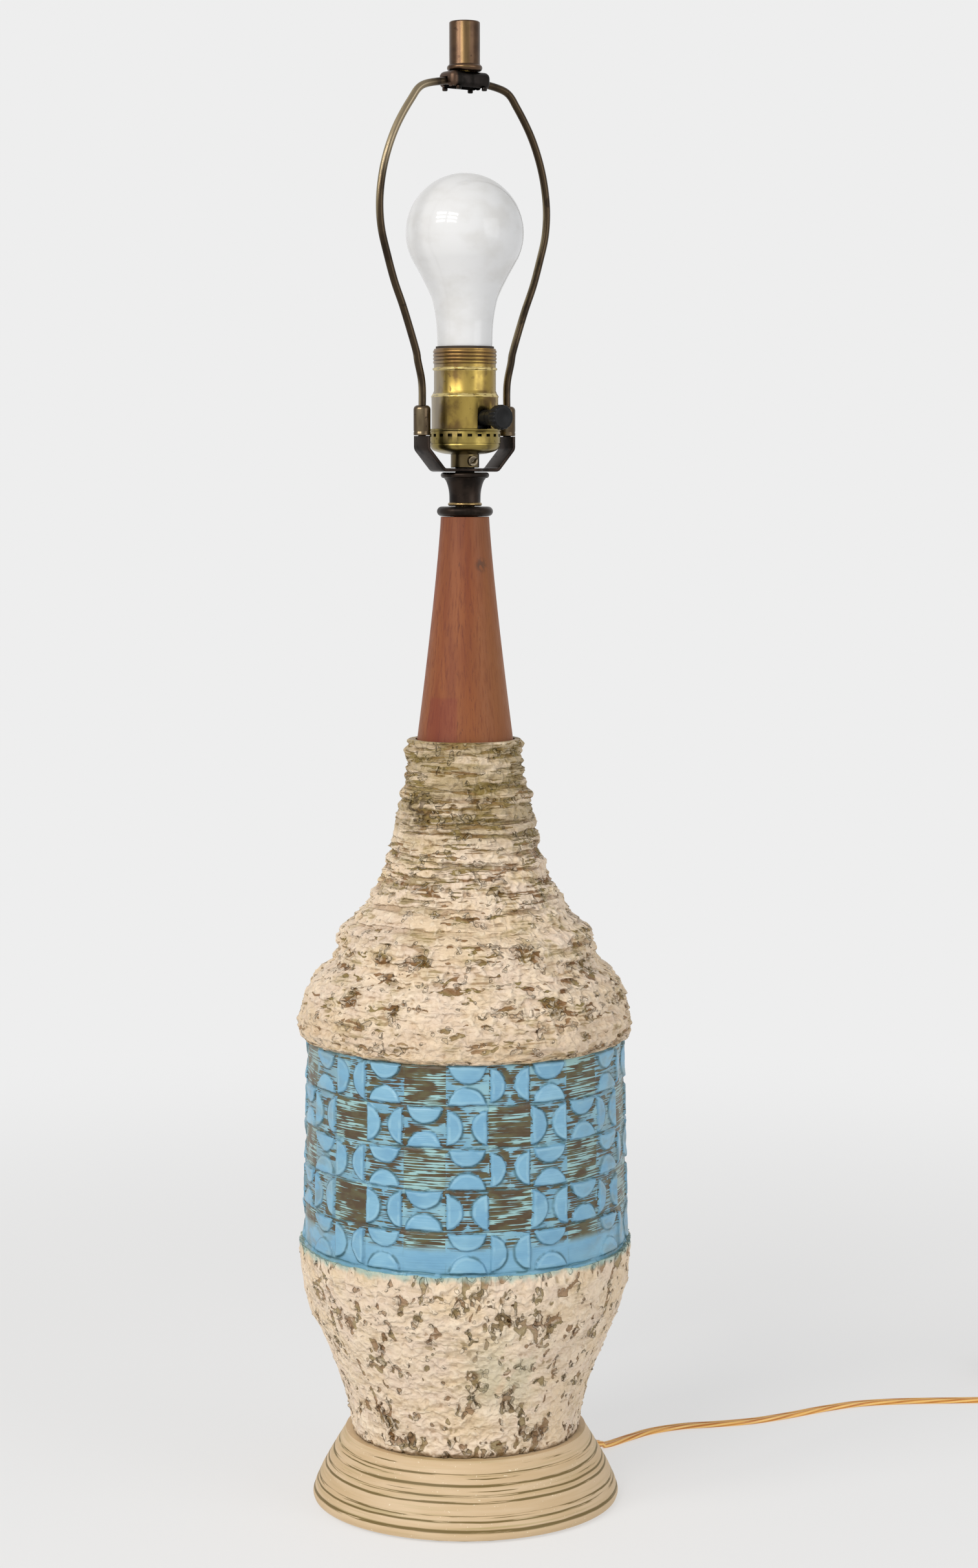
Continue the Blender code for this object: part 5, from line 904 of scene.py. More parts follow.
colour = bands.between((136, 77, 42), (122, 63, 35)).under(
    (where.grain(0.020, 0.060, detail=1, seed=4).ramped(0.40, 0.65, 0, 0.6), (133, 79, 43)),
    (fibres.ramped(0.48, 0.68, 0, 0.65), (104, 52, 36)),
    (where.grain(0.0006, 0.0050, detail=1, seed=6).ramped(0.68, 0.76, 0, 0.6), (76, 42, 30)),
    (knot, (54, 36, 30)), (patch * height.ramped(0.4300, 0.4275) * 0.45, (118, 48, 36)),
    (turn.ramped(math.radians(5), math.radians(60), 0, 0.5), (146, 92, 46)),
    (height.ramped(0.480, 0.520, 0, 0.35), (106, 56, 36)))
waxed_wood.dress(colour, fibres.ramped(0.3, 0.7, 0.44, 0.60), fibres, 0.00008)
outline = [(NECK_TOP_RADIUS + (NECK_FOOT_RADIUS - NECK_TOP_RADIUS) * (i / NECK_STEPS) ** NECK_TAPER_POWER,
            NECK_SEAT + NECK_HEIGHT * (1 - i / NECK_STEPS)) for i in range(NECK_STEPS + 1)]
outline += [(ROD_HOLE_RADIUS, NECK_SEAT), (ROD_HOLE_RADIUS, NECK_SEAT + NECK_HEIGHT)]
neck = turned("wooden_neck", outline, 128, waxed_wood)
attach(neck, "root")
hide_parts("wood_neck")

# Check ring and spacer: turned brass under dark bronze lacquer. The ring has a round edge, and the
# spacer a round flange, a hollow waist and a bead at its foot, which is lighter brass as a painted highlight.
RING_SEAT = 0.5224
RING_RADIUS = 0.0146
RING_HEIGHT = 0.0050
SPACER_SEAT = 0.5277
SPACER_HEIGHT = 0.0174
SPACER_WAIST_RADIUS = 0.0081
SPACER_FOOT_RADIUS = 0.0089
SPACER_FLANGE_RADIUS = 0.0126
SPACER_FLANGE_THICKNESS = 0.0030
SPACER_BEAD_HEIGHT = 0.0018
SPACER_BEAD_MARGIN = 0.0002
SPACER_COVE_SHARES = [(1.0, 0.62), (0.86, 0.36), (0.62, 0.14), (0.34, 0.02), (0.0, 0.0)]


def patina_group():
    """A shader group for old metal: clean metal under clouds, fine spots and upright runs of tarnish."""
    inputs = {"Metal": "Color", "Tarnish": "Color", "Amount": "Float", "Spot size": "Float",
              "Clean roughness": "Float", "Dull roughness": "Float"}
    tree, given = new_tree("metal_patina", "ShaderNodeTree", inputs,
                           {"Color": "Color", "Roughness": "Float", "Height": "Float"})
    where = Pattern(place(tree, "ShaderNodeTexCoord"), "Object").vector("DIVIDE", given["Spot size"])
    clouds = where.grain(1, detail=4, roughness=0.6)
    spots = where.grain(0.16, detail=1, seed=5)
    low = given["Amount"] * -0.4 + 0.68
    dull_and_side_shade = (clouds * 0.6 + where.grain(0.45, 4, seed=3) * 0.4).ramped(low, low + 0.12)
    dull_and_side_shade = most(dull_and_side_shade, spots.ramped(0.66, 0.72, 0, 0.8))
    clean, rough = given["Clean roughness"], given["Dull roughness"]
    place(tree, "NodeGroupOutput", {"Color": dull_and_side_shade.between(given["Metal"], given["Tarnish"]),
                                    "Roughness": clean + dull_and_side_shade * (rough - clean),
                                    "Height": spots * 0.3 + clouds})
    return tree


patina = patina_group()


def old_metal(name, metal, tarnish, amount, spot, clean_roughness, dull_roughness, depth):
    """A metal whose colour and shine vary with its tarnish."""
    finish = Finish(name, metal, clean_roughness, 1.0)
    inputs = {"Metal": paint(metal), "Tarnish": paint(tarnish), "Amount": amount, "Spot size": spot,
              "Clean roughness": clean_roughness, "Dull roughness": dull_roughness}
    group = place(finish.tree, "ShaderNodeGroup", inputs, node_tree=patina)
    finish.dress(*[Pattern(group, output) for output in ("Color", "Roughness", "Height")], depth)
    return finish


def highlight_group():
    """A shader group for a painted highlight on the side of a piece that faces one way: how strong it is,
    unevenly.
    """
    inputs = {"Way": "Vector", "Low": "Float", "High": "Float", "Share": "Float"}
    tree, given = new_tree("facing_highlight", "ShaderNodeTree", inputs, {"Highlight": "Float"})
    where = place(tree, "ShaderNodeTexCoord")
    facing = Pattern(where, "Normal").vector("DOT_PRODUCT", given["Way"])
    patchy = Pattern(where, "Object").grain(0.004, 0.012, detail=3, seed=7).ramped(0.30, 0.55, 0.5, 1.0)
    place(tree, "NodeGroupOutput",
          {"Highlight": facing.ramped(given["Low"], given["High"], 0, given["Share"]) * patchy})
    return tree


facing_highlight = highlight_group()


def paint_highlight(finish, way, colour, low, high, share):
    """Paint a highlight on the side of a piece that faces one way, as its surface tells: a lighter colour."""
    inputs = {"Way": Vector(way).normalized(), "Low": low, "High": high, "Share": share}
    highlight_share = place(finish.tree, "ShaderNodeGroup", inputs, node_tree=facing_highlight)
    finish.overlay((Pattern(highlight_share), colour))


def rounded_edge(radius, middle, half, steps=10):
    """The round edge of a disc, from its top face to its under face."""
    return arc((radius - half, middle), half, 90, -90, steps)


dark_bronze = old_metal("dark_bronze", (48, 40, 35), (33, 28, 25), 0.55, 0.012, 0.36, 0.46, 0.00004)
outline = rounded_edge(RING_RADIUS, RING_SEAT + RING_HEIGHT / 2, RING_HEIGHT / 2)
outline += [(ROD_HOLE_RADIUS, RING_SEAT), (ROD_HOLE_RADIUS, RING_SEAT + RING_HEIGHT)]
check_ring = turned("bronze_ring", outline, 96, dark_bronze)
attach(check_ring, "root")
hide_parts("check_ring")

spacer_top = SPACER_SEAT + SPACER_HEIGHT
flange_half = SPACER_FLANGE_THICKNESS / 2
bead_half = SPACER_BEAD_HEIGHT / 2
cove = shares_outline(SPACER_COVE_SHARES, SPACER_SEAT + SPACER_BEAD_HEIGHT,
                      SPACER_HEIGHT - SPACER_FLANGE_THICKNESS - SPACER_BEAD_HEIGHT,
                      SPACER_WAIST_RADIUS, SPACER_FLANGE_RADIUS)
outline = [*rounded_edge(SPACER_FLANGE_RADIUS, spacer_top - flange_half, flange_half), *smooth_line(cove, 6),
           *rounded_edge(SPACER_FOOT_RADIUS, SPACER_SEAT + bead_half, bead_half),
           (ROD_HOLE_RADIUS, SPACER_SEAT), (ROD_HOLE_RADIUS, spacer_top)]
spacer = turned("turned_spacer", outline, 96, dark_bronze)
# The bead at the spacer's foot is lighter brass: a painted highlight.
bead_highlight = old_metal("bead_highlight", (150, 126, 84), (70, 56, 40), 0.4, 0.006, 0.26, 0.5, 0.00006)
spacer.data.materials.append(bead_highlight.material)
for face in spacer.data.polygons:
    low = face.center.z < SPACER_SEAT + SPACER_BEAD_HEIGHT + SPACER_BEAD_MARGIN
    face.material_index = int(low and face.center.xy.length > SPACER_WAIST_RADIUS)
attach(spacer, "root")
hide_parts("neck_spacer")

# Saddle: a strip of steel bent to hold the harp, with a round eye for the rod and a narrow tab at each
# end, all under worn dark bronze lacquer. It is turned on the lamp, so that its right arm lies behind.
HARP_TURN = math.radians(37)
SADDLE_SEAT = 0.5454
SADDLE_HALF_FLAT = 0.0172
SADDLE_RISE = 0.0118
SADDLE_UPRIGHT = 0.0065
SADDLE_EYE_RADIUS = 0.0098
SADDLE_EYE_THICKNESS = 0.0016
SADDLE_EASE = 0.0003
STRIP_THICKNESS = 0.0018
STRIP_WIDTH = 0.0124
STRIP_BEND = 0.0030
TAB_WIDTH = 0.0052
TAB_THICKNESS = 0.0015
TAB_ROOT = 0.003
TAB_TOP = 0.5725
EYE_CUT_TOP = 0.004
EYE_CUT_LOW = -0.002
LEG_SPREAD = 0.0274
harp_frame = Matrix.Rotation(HARP_TURN, 4, "Z")


def bent_line(corners, radius, steps):
    """A flat line through corners, with an arc at each."""
    places = [Vector(corner) for corner in corners]
    line = [places[0]]
    for before, corner, after in zip(places, places[1:], places[2:]):
        back, ahead = (before - corner).normalized(), (after - corner).normalized()
        half = back.angle(ahead) / 2
        middle = corner + (back + ahead).normalized() * radius / math.sin(half)
        start = corner + back * radius / math.tan(half) - middle
        end = corner + ahead * radius / math.tan(half) - middle
        line += [middle + start.lerp(end, i / steps).normalized() * radius for i in range(steps + 1)]
    return line + [places[-1]]


def rounded_box(width, thickness, radius, steps=3):
    """The outline of a bar's section, with rounded corners."""
    across, up = width / 2 - radius, thickness / 2 - radius
    points = []
    for turn, x, y in ((0, across, up), (90, -across, up), (180, -across, -up), (270, across, -up)):
        points += arc((x, y), radius, turn, turn + 90, steps)
    return points


lacquer = old_metal("lacquered_strip", (50, 42, 37), (34, 29, 26), 0.5, 0.014, 0.36, 0.48, 0.00004)
middle = STRIP_THICKNESS / 2
shoulder = SADDLE_RISE + SADDLE_UPRIGHT
corners = [(-LEG_SPREAD, shoulder), (-LEG_SPREAD, SADDLE_RISE), (-SADDLE_HALF_FLAT, middle),
           (SADDLE_HALF_FLAT, middle), (LEG_SPREAD, SADDLE_RISE), (LEG_SPREAD, shoulder)]
line = [(x, 0, SADDLE_SEAT + z) for x, z in bent_line(corners, STRIP_BEND, 8)]
strip = rounded_box(STRIP_WIDTH, STRIP_THICKNESS, SADDLE_EASE)
saddle = swept("harp_strip", line, (0, 1, 0), strip, lacquer)
eye_middle = SADDLE_SEAT + middle
eye = disc(SADDLE_EYE_RADIUS, eye_middle + SADDLE_EYE_THICKNESS / 2, eye_middle - SADDLE_EYE_THICKNESS / 2)
cut(saddle, turned("eye", eased(eye, SADDLE_EASE), 64, lacquer), "UNION")
tab = rounded_box(TAB_WIDTH, TAB_THICKNESS, SADDLE_EASE)
for x in (-LEG_SPREAD, LEG_SPREAD):
    post = [(x, 0, SADDLE_SEAT + SADDLE_RISE + TAB_ROOT), (x, 0, TAB_TOP)]
    cut(saddle, swept("tab", post, (0, 1, 0), tab, lacquer), "UNION")
hole = disc(ROD_HOLE_RADIUS, SADDLE_SEAT + EYE_CUT_TOP, SADDLE_SEAT + EYE_CUT_LOW)
cut(saddle, turned("hole", hole, 48, lacquer))
stood(saddle, harp_frame)
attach(saddle, "root")
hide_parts("harp_saddle")

# Socket cap: spun sheet brass, with a hub that screws on the rod, a dished underside and a straight
# band with a rolled edge and a row of lock slots. A slotted screw in the hub holds it on the rod.
SOCKET_SEAT = 0.5475
BRASS_SHEET = 0.0006
HUB_RADIUS = 0.0074
HUB_HEIGHT = 0.0068
HUB_BORE = 0.0053
HUB_EASE = 0.0003
HUB_SHADE = 0.0008
CAP_INNER = 0.01785
CAP_OUTER = 0.01845
CAP_HEIGHT = 0.0200
CAP_BAND_HEIGHT = 0.0080
CAP_DISH_SHARES = [(1.0, 1.0), (0.45, 0.84), (0.12, 0.40), (0.0, 0.0)]
CAP_SLOT_COUNT = 22
CAP_SLOT_SIZE = (0.0024, 0.0030, 0.0015)
CAP_SLOT_HEIGHT = 0.0166
CAP_SLOT_START_SHARE = 0.25
CAP_GROOVE = 0.0004
SET_SCREW_TURN = math.radians(-7)
SET_SCREW_SLOT_TURN = math.radians(35)
SET_SCREW_HEAD_RADIUS = 0.0027
SET_SCREW_HEAD_LENGTH = 0.0014
SET_SCREW_RADIUS = 0.0014
SET_SCREW_DEPTH = 0.0020
SET_SCREW_EASE = 0.0003
SET_SCREW_GAP = 0.0003
SET_SCREW_SLOT = 0.0006
SET_SCREW_SLOT_HALF_RUN = 0.004
SET_SCREW_SLOT_EASE = 0.0001
socket_frame = Matrix.Translation((0, 0, SOCKET_SEAT)) @ harp_frame


def slots_tree():
    """Geometry nodes that cut a ring of like slots through the wall of a turned piece."""
    inputs = {"Geometry": "Geometry", "Count": "Int", "Slot size": "Vector", "Ring radius": "Float",
              "Slot height": "Float", "First turn": "Float", "Material": "Material"}
    tree, sizes = new_tree("ring_of_slots", "GeometryNodeTree", inputs, {"Geometry": "Geometry"})
    ring = place(tree, "GeometryNodeMeshCircle", {"Vertices": sizes["Count"], "Radius": sizes["Ring radius"]})
    slot = place(tree, "GeometryNodeMeshCube", {"Size": sizes["Slot size"]})
    where = Pattern(place(tree, "GeometryNodeInputPosition"))
    facing = place(tree, "FunctionNodeAlignRotationToVector", {"Vector": where}, axis="Y", pivot_axis="Z")
    slots = place(tree, "GeometryNodeInstanceOnPoints", {
        "Points": Pattern(ring), "Instance": Pattern(slot), "Rotation": Pattern(facing)})
    turn, rise = [Pattern(place(tree, "ShaderNodeCombineXYZ", {2: sizes[name]}))
                  for name in ("First turn", "Slot height")]
    placed = place(tree, "GeometryNodeTransform", {"Geometry": Pattern(slots), "Translation": rise,
                                                   "Rotation": turn})
    real = place(tree, "GeometryNodeRealizeInstances", {"Geometry": Pattern(placed)})
    opened = place(tree, "GeometryNodeMeshBoolean", {"Mesh 1": sizes["Geometry"], "Mesh 2": Pattern(real)},
                   operation="DIFFERENCE", solver="EXACT")
    return end_tree(tree, Pattern(opened), sizes["Material"])


spun_brass = old_metal("spun_brass", (136, 120, 66), (88, 76, 46), 0.46, 0.016, 0.28, 0.40, 0.00003)
# Painted highlight on the front of the cap.
paint_highlight(spun_brass, (0.35, -1, 0), (176, 154, 84), 0.84, 0.98, 0.5)
hub_top = SOCKET_SEAT + HUB_HEIGHT
hub_shade = spun_brass.places().parts()[2].ramped(hub_top + HUB_SHADE, hub_top)
spun_brass.overlay((hub_shade * 0.9, (86, 74, 54)))
band_low = CAP_HEIGHT - CAP_BAND_HEIGHT
dish = shares_outline(CAP_DISH_SHARES, HUB_HEIGHT, band_low - HUB_HEIGHT, HUB_RADIUS, CAP_OUTER)
dish = smooth_line(dish, 6)
dish_inside = [(radius - BRASS_SHEET, height + BRASS_SHEET) for radius, height in dish[::-1]]
dish_inside[-1] = (CAP_INNER, band_low + BRASS_SHEET)
outline = [(CAP_INNER, CAP_HEIGHT),
           *rounded_edge(CAP_OUTER + BRASS_SHEET / 2, CAP_HEIGHT - BRASS_SHEET, BRASS_SHEET, 6),
           (CAP_OUTER, CAP_HEIGHT - 3 * BRASS_SHEET), (CAP_OUTER, band_low + BRASS_SHEET),
           (CAP_OUTER - CAP_GROOVE, band_low + CAP_GROOVE), (CAP_OUTER - CAP_GROOVE, band_low), *dish[1:],
           (HUB_RADIUS, HUB_EASE), (HUB_RADIUS - HUB_EASE, 0), (HUB_BORE, 0),
           (HUB_BORE, HUB_HEIGHT + BRASS_SHEET), *dish_inside]
cap = turned("spun_cap", outline, 176, spun_brass)
worked(cap, slots_tree(), spun_brass,
       {"Count": CAP_SLOT_COUNT, "Slot size": CAP_SLOT_SIZE, "Ring radius": CAP_OUTER,
        "Slot height": CAP_SLOT_HEIGHT,
        "First turn": math.tau * (CAP_SLOT_START_SHARE / CAP_SLOT_COUNT) - math.pi / 2})
cap.data.set_sharp_from_angle(angle=math.radians(35))
stood(cap, socket_frame)
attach(cap, "root")
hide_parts("socket_cap")

steel = old_metal("plated_steel", (186, 180, 168), (112, 98, 78), 0.45, 0.003, 0.24, 0.5, 0.00005)
worn_steel = old_metal("worn_steel", (104, 94, 78), (58, 50, 40), 0.5, 0.004, 0.26, 0.5, 0.00005)
head = SET_SCREW_HEAD_LENGTH
outline = [(0, head), (SET_SCREW_HEAD_RADIUS, head), (SET_SCREW_HEAD_RADIUS, 0), (SET_SCREW_RADIUS, 0),
           (SET_SCREW_RADIUS, -SET_SCREW_DEPTH), (0, -SET_SCREW_DEPTH)]
screw = turned("slotted_screw", eased(outline, SET_SCREW_EASE), 40, worn_steel)
slot_line = [(x, 0, head) for x in (-SET_SCREW_SLOT_HALF_RUN, SET_SCREW_SLOT_HALF_RUN)]
slot_section = rounded_box(2 * SET_SCREW_SLOT, SET_SCREW_SLOT, SET_SCREW_SLOT_EASE)
cut(screw, swept("screw_slot", slot_line, (0, 0, 1), slot_section, worn_steel))
stood(screw, Matrix.Rotation(SET_SCREW_SLOT_TURN, 4, "Z"))
screw_way = Vector((math.sin(SET_SCREW_TURN), -math.cos(SET_SCREW_TURN), 0))
start = screw_way * (HUB_RADIUS + SET_SCREW_GAP) + Vector((0, 0, HUB_HEIGHT / 2))
stood(screw, socket_frame @ along_axis(start, screw_way))
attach(screw, "root")
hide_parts("socket_set_screw")

# Socket shell: spun brass over a fibre liner, with four rolled rings and a bead near the mouth, a
# shoulder below the middle and a notch for the switch. It is greyer on the left.
SHELL_BOTTOM = 0.0142
SHELL_TOP = 0.0611
SHELL_OUTER = 0.01605
SHELL_INNER = 0.01545
SHELL_LOW_OUTER = 0.0173
SHELL_SHOULDER_SHARE = 0.49
SHELL_RING_START = 0.0015
SHELL_RING_PITCH = 0.0018
SHELL_RING_COUNT = 4
SHELL_BEAD = 0.0006
SHELL_BEAD_DROP = 0.0104
SHELL_STEP = 0.0012
SHELL_EASE = 0.0002
LINER_INNER = 0.0145
LINER_OUTER = 0.0151
LINER_BOTTOM = 0.0153
LINER_STANDOUT = 0.0012
SWITCH_HEIGHT = 0.0256
SWITCH_NOTCH_HALF = 0.0043
SWITCH_NOTCH_OVERRUN = 0.003
shell_brass = old_metal("spun_shell", (150, 127, 66), (100, 80, 48), 0.50, 0.016, 0.30, 0.42, 0.00003)
# Painted highlight on the front of the shell.
paint_highlight(shell_brass, (0.30, -1, 0), (190, 164, 88), 0.86, 0.99, 0.55)
where = shell_brass.places()
x, _, height = where.parts()
mouth = SOCKET_SEAT + SHELL_TOP
shoulder = SHELL_BOTTOM + (SHELL_TOP - SHELL_BOTTOM) * SHELL_SHOULDER_SHARE
rings = [SHELL_TOP - SHELL_RING_START - SHELL_RING_PITCH * i for i in range(SHELL_RING_COUNT)]
bead = SHELL_TOP - SHELL_BEAD_DROP
ring_top = SOCKET_SEAT + rings[0] + SHELL_RING_PITCH / 2
ring_low = ring_top - SHELL_RING_PITCH * SHELL_RING_COUNT
# Painted shade in the hollows between the rolled rings.
crease_shade = ((height - ring_top) * (math.tau / SHELL_RING_PITCH)).step("COSINE").ramped(0.45, 0.95)
crease_shade = crease_shade * height.ramped(ring_top, ring_top - SHELL_BEAD / 2)
crease_shade = crease_shade * height.ramped(ring_low - SHELL_BEAD, ring_low)
# Painted highlight along the bead and the shoulder.
highlight_lines = where.grain(0.004, 0.001, seed=4).ramped(0.40, 0.52, 0.1, 0.65)
shell_brass.overlay(
    ((where.grain(0.006, 0.02, detail=3) * 0.012 + x).ramped(-0.002, -0.009, 0, 0.85), (156, 146, 130)),
    (height.ramped(mouth - 0.0120, mouth - 0.0020, 0, 0.7), (128, 96, 60)), (crease_shade * 0.75, (70, 52, 34)),
    *[(line_of(height, SOCKET_SEAT + middle, half, half) * highlight_lines, (226, 206, 142))
      for middle, half in ((bead, SHELL_BEAD), (shoulder, SHELL_STEP / 2))],
    # Painted shade: the shell is dark where it stands inside the cap, behind its slots.
    (height.ramped(SOCKET_SEAT + CAP_HEIGHT, SOCKET_SEAT + CAP_HEIGHT - BRASS_SHEET), (30, 26, 20)))
outline = [(SHELL_INNER, SHELL_TOP), (SHELL_OUTER - SHELL_EASE, SHELL_TOP),
           (SHELL_OUTER, SHELL_TOP - SHELL_EASE)]
for middle in (*rings, bead):
    swell = SHELL_BEAD * (1.2 if middle == bead else 0.7)
    outline += arc((SHELL_OUTER, middle), swell, 90, -90, 8, rise=SHELL_RING_PITCH * 0.42)
step = [(SHELL_OUTER, shoulder + SHELL_STEP * 2),
        (SHELL_OUTER + SHELL_STEP * 0.5, shoulder + SHELL_STEP * 0.7),
        (SHELL_LOW_OUTER + SHELL_EASE, shoulder - SHELL_STEP * 0.4),
        (SHELL_LOW_OUTER, shoulder - SHELL_STEP)]
outline += [*smooth_line(step, 6), (SHELL_LOW_OUTER, SHELL_BOTTOM),
            (SHELL_LOW_OUTER - BRASS_SHEET, SHELL_BOTTOM),
            (SHELL_LOW_OUTER - BRASS_SHEET, shoulder - SHELL_STEP), (SHELL_INNER, shoulder)]
shell = turned("spun_shell", outline, 160, shell_brass)


def notch_cutter(finish):
    """The space for the switch boss, cut upwards from the shell's lower edge."""
    low = SHELL_BOTTOM - SWITCH_NOTCH_OVERRUN
    arch = arc((0, SWITCH_HEIGHT), SWITCH_NOTCH_HALF, 0, 180, 17)
    arch += [(-SWITCH_NOTCH_HALF, low), (SWITCH_NOTCH_HALF, low)]
    points = [(x, depth, z) for depth in (-SHELL_LOW_OUTER / 2, -SHELL_LOW_OUTER * 1.5) for x, z in arch]
    count = len(arch)
    faces = [tuple(range(count)), tuple(range(count, 2 * count))]
    faces += [(j, (j + 1) % count, count + (j + 1) % count, count + j) for j in range(count)]
    return new_piece("notch", points, faces, finish)


cut(shell, notch_cutter(shell_brass))
stood(shell, socket_frame)
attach(shell, "root")
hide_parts("socket_shell")

fibre = Finish("fibre_card", (48, 40, 34), 0.85)
fibre.dress(fibre.places().grain(0.002, 0.0006, detail=3).between((38, 32, 28), (74, 62, 50)))
liner_top = SHELL_TOP + LINER_STANDOUT
outline = [(LINER_INNER, liner_top), (LINER_OUTER, liner_top), (LINER_OUTER, LINER_BOTTOM),
           (LINER_INNER, LINER_BOTTOM)]
liner = turned("fibre_liner", outline, 96, fibre)
cut(liner, notch_cutter(fibre))
stood(liner, socket_frame)
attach(liner, "root")
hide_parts("socket_liner")

# Socket core and switch: moulded black phenolic. The boss on the core fills the shell's notch, and the
# fluted knob turns on a brass stem in it. The screw shell and its screws are plain brass.
BOSS_RADIUS = 0.0040
BOSS_REACH = 0.0215
BOSS_GAP = 0.0004
KNOB_RADIUS = 0.0064
KNOB_REACH = 0.0334
KNOB_THICKNESS = 0.0056
KNOB_ROUNDING = 0.0011
KNOB_DIMPLE_RADIUS = 0.0030
KNOB_DIMPLE_EDGE = 0.0036
KNOB_DIMPLE = 0.0003
KNOB_BORE = 0.0018
KNOB_STEM_GAP = 0.0003
KNOB_FLUTES = 16
KNOB_FLUTE_DEPTH = 0.0006
THREAD_PITCH = 0.00094
phenolic = Finish("moulded_phenolic", (15, 15, 15), 0.5, specular_ior_level=0.18)
where = phenolic.places()
dust = where.grain(0.004, 0.003, detail=4).ramped(0.54, 0.80, 0, 0.25)
phenolic.dress(dust.between((14, 14, 14), (48, 45, 41)), dust.ramped(0, 0.25, 0.42, 0.62),
               where.grain(0.0006), 0.00003)
back = KNOB_REACH - KNOB_THICKNESS
bore_end = KNOB_REACH - KNOB_THICKNESS / 2 + KNOB_STEM_GAP
outline = [(0, KNOB_REACH - KNOB_DIMPLE), (KNOB_DIMPLE_RADIUS, KNOB_REACH - KNOB_DIMPLE),
           (KNOB_DIMPLE_EDGE, KNOB_REACH),
           *arc((KNOB_RADIUS - KNOB_ROUNDING, KNOB_REACH - KNOB_ROUNDING), KNOB_ROUNDING, 90, 0, 4),
           (KNOB_RADIUS, back + KNOB_ROUNDING), (KNOB_RADIUS - KNOB_ROUNDING / 2, back), (BOSS_RADIUS, back),
           (BOSS_RADIUS, BOSS_REACH + BOSS_GAP), (KNOB_BORE, BOSS_REACH + BOSS_GAP), (KNOB_BORE, bore_end),
           (0, bore_end)]
knob = turned("fluted_knob", outline, KNOB_FLUTES * 8, phenolic)
for vertex in knob.data.vertices:
    radius = vertex.co.xy.length
    if radius > KNOB_RADIUS - KNOB_ROUNDING * 0.6 and vertex.co.z > back:
        turn = math.atan2(vertex.co.y, vertex.co.x)
        vertex.co.xy *= 1 - KNOB_FLUTE_DEPTH * (1 - abs(math.cos(KNOB_FLUTES * turn / 2))) / radius
stood(knob, along_axis((0, 0, SOCKET_SEAT + SWITCH_HEIGHT), harp_frame @ Vector((0, -1, 0))))
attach(knob, "switch")
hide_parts("switch_knob")
plain_brass = old_metal("plain_brass", (206, 172, 92), (126, 98, 52), 0.35, 0.006, 0.22, 0.45, 0.00004)
zinc = old_metal("zinc_thread", (168, 168, 166), (120, 116, 108), 0.4, 0.005, 0.34, 0.5, 0.00003)
thread = (zinc.places().parts()[2] * (math.tau / THREAD_PITCH)).step("SINE")
zinc.dress(relief=thread, depth=0.0003)
coat(phenolic, "socket_core", "bulb_insulator")
coat(plain_brass, "socket_screw_shell", "socket_contact_leaf", "terminal_screw_brass", "switch_stem",
     "harp_stud", "plug_blade_left", "plug_blade_right")
coat(zinc, "threaded_rod")
coat(steel, "terminal_screw_silver", "base_washer", "base_lock_washer", "base_nut", "bulb_filament",
     "bulb_contact")

# Bulb: a pear-shaped glass with an opaque white coat inside, so that it shines like glazed china. Its
# screw cap is rolled sheet, and a dark glass insulator holds the solder contact.
BULB_RADIUS = 0.0305
BULB_TOP = 0.6984
BULB_NECK_FOOT = 0.6044
BULB_NECK_RADIUS = 0.0141
BULB_TAIL_RADIUS = 0.0126
BULB_TAIL_LOW = 0.5971
BULB_TAIL_GAP = 0.0003
BULB_WALL = 0.0008
BULB_BALL_END_SHARE = 0.42
BULB_NECK_SHARES = [(0.88, 0.75), (0.76, 0.51), (0.65, 0.31), (0.54, 0.17), (0.33, 0.045), (0.0, 0.0)]
white_glass = Finish("coated_glass", (218, 218, 217), 0.20, specular_ior_level=0.12, coat_weight=0.45,
                     coat_roughness=0.015)
dusty = white_glass.places().grain(0.018, 0.012, detail=4)
white_glass.dress(dusty.ramped(0.4, 0.7).between((221, 221, 221), (211, 210, 208)),
                  dusty.ramped(0.35, 0.7, 0.13, 0.24))
ball_end = -math.degrees(math.asin(BULB_BALL_END_SHARE))
ball = arc((0, BULB_TOP - BULB_RADIUS), BULB_RADIUS, 90, ball_end, 39)
ball[0] = (0, BULB_TOP)
neck = shares_outline(BULB_NECK_SHARES, BULB_NECK_FOOT, ball[-1][1] - BULB_NECK_FOOT, BULB_NECK_RADIUS,
                      ball[-1][0])
glass = [*ball, *smooth_line([ball[-1], *neck], 6)[1:]]
inside = [(max(0, radius - BULB_WALL), height) for radius, height in glass]
inside[0] = (0, BULB_TOP - BULB_WALL)
outline = [*glass, (BULB_TAIL_RADIUS, BULB_NECK_FOOT - BULB_TAIL_GAP), (BULB_TAIL_RADIUS, BULB_TAIL_LOW),
           (BULB_TAIL_RADIUS - BULB_WALL, BULB_TAIL_LOW), (BULB_TAIL_RADIUS - BULB_WALL, BULB_NECK_FOOT),
           *inside[::-1]]
bulb = turned("white_bulb", outline, 96, white_glass)
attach(bulb, "bulb")
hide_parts("bulb_glass")
rolled = old_metal("rolled_cap", (206, 206, 206), (148, 146, 142), 0.3, 0.004, 0.26, 0.4, 0.00003)
coat(rolled, "bulb_screw_cap")
clear_glass = Finish("clear_glass", (240, 244, 244), 0.04, transmission_weight=1.0, ior=1.5)
clear_glass.dress(relief=clear_glass.places().grain(0.003), depth=0.00002)
coat(clear_glass, "bulb_stem")

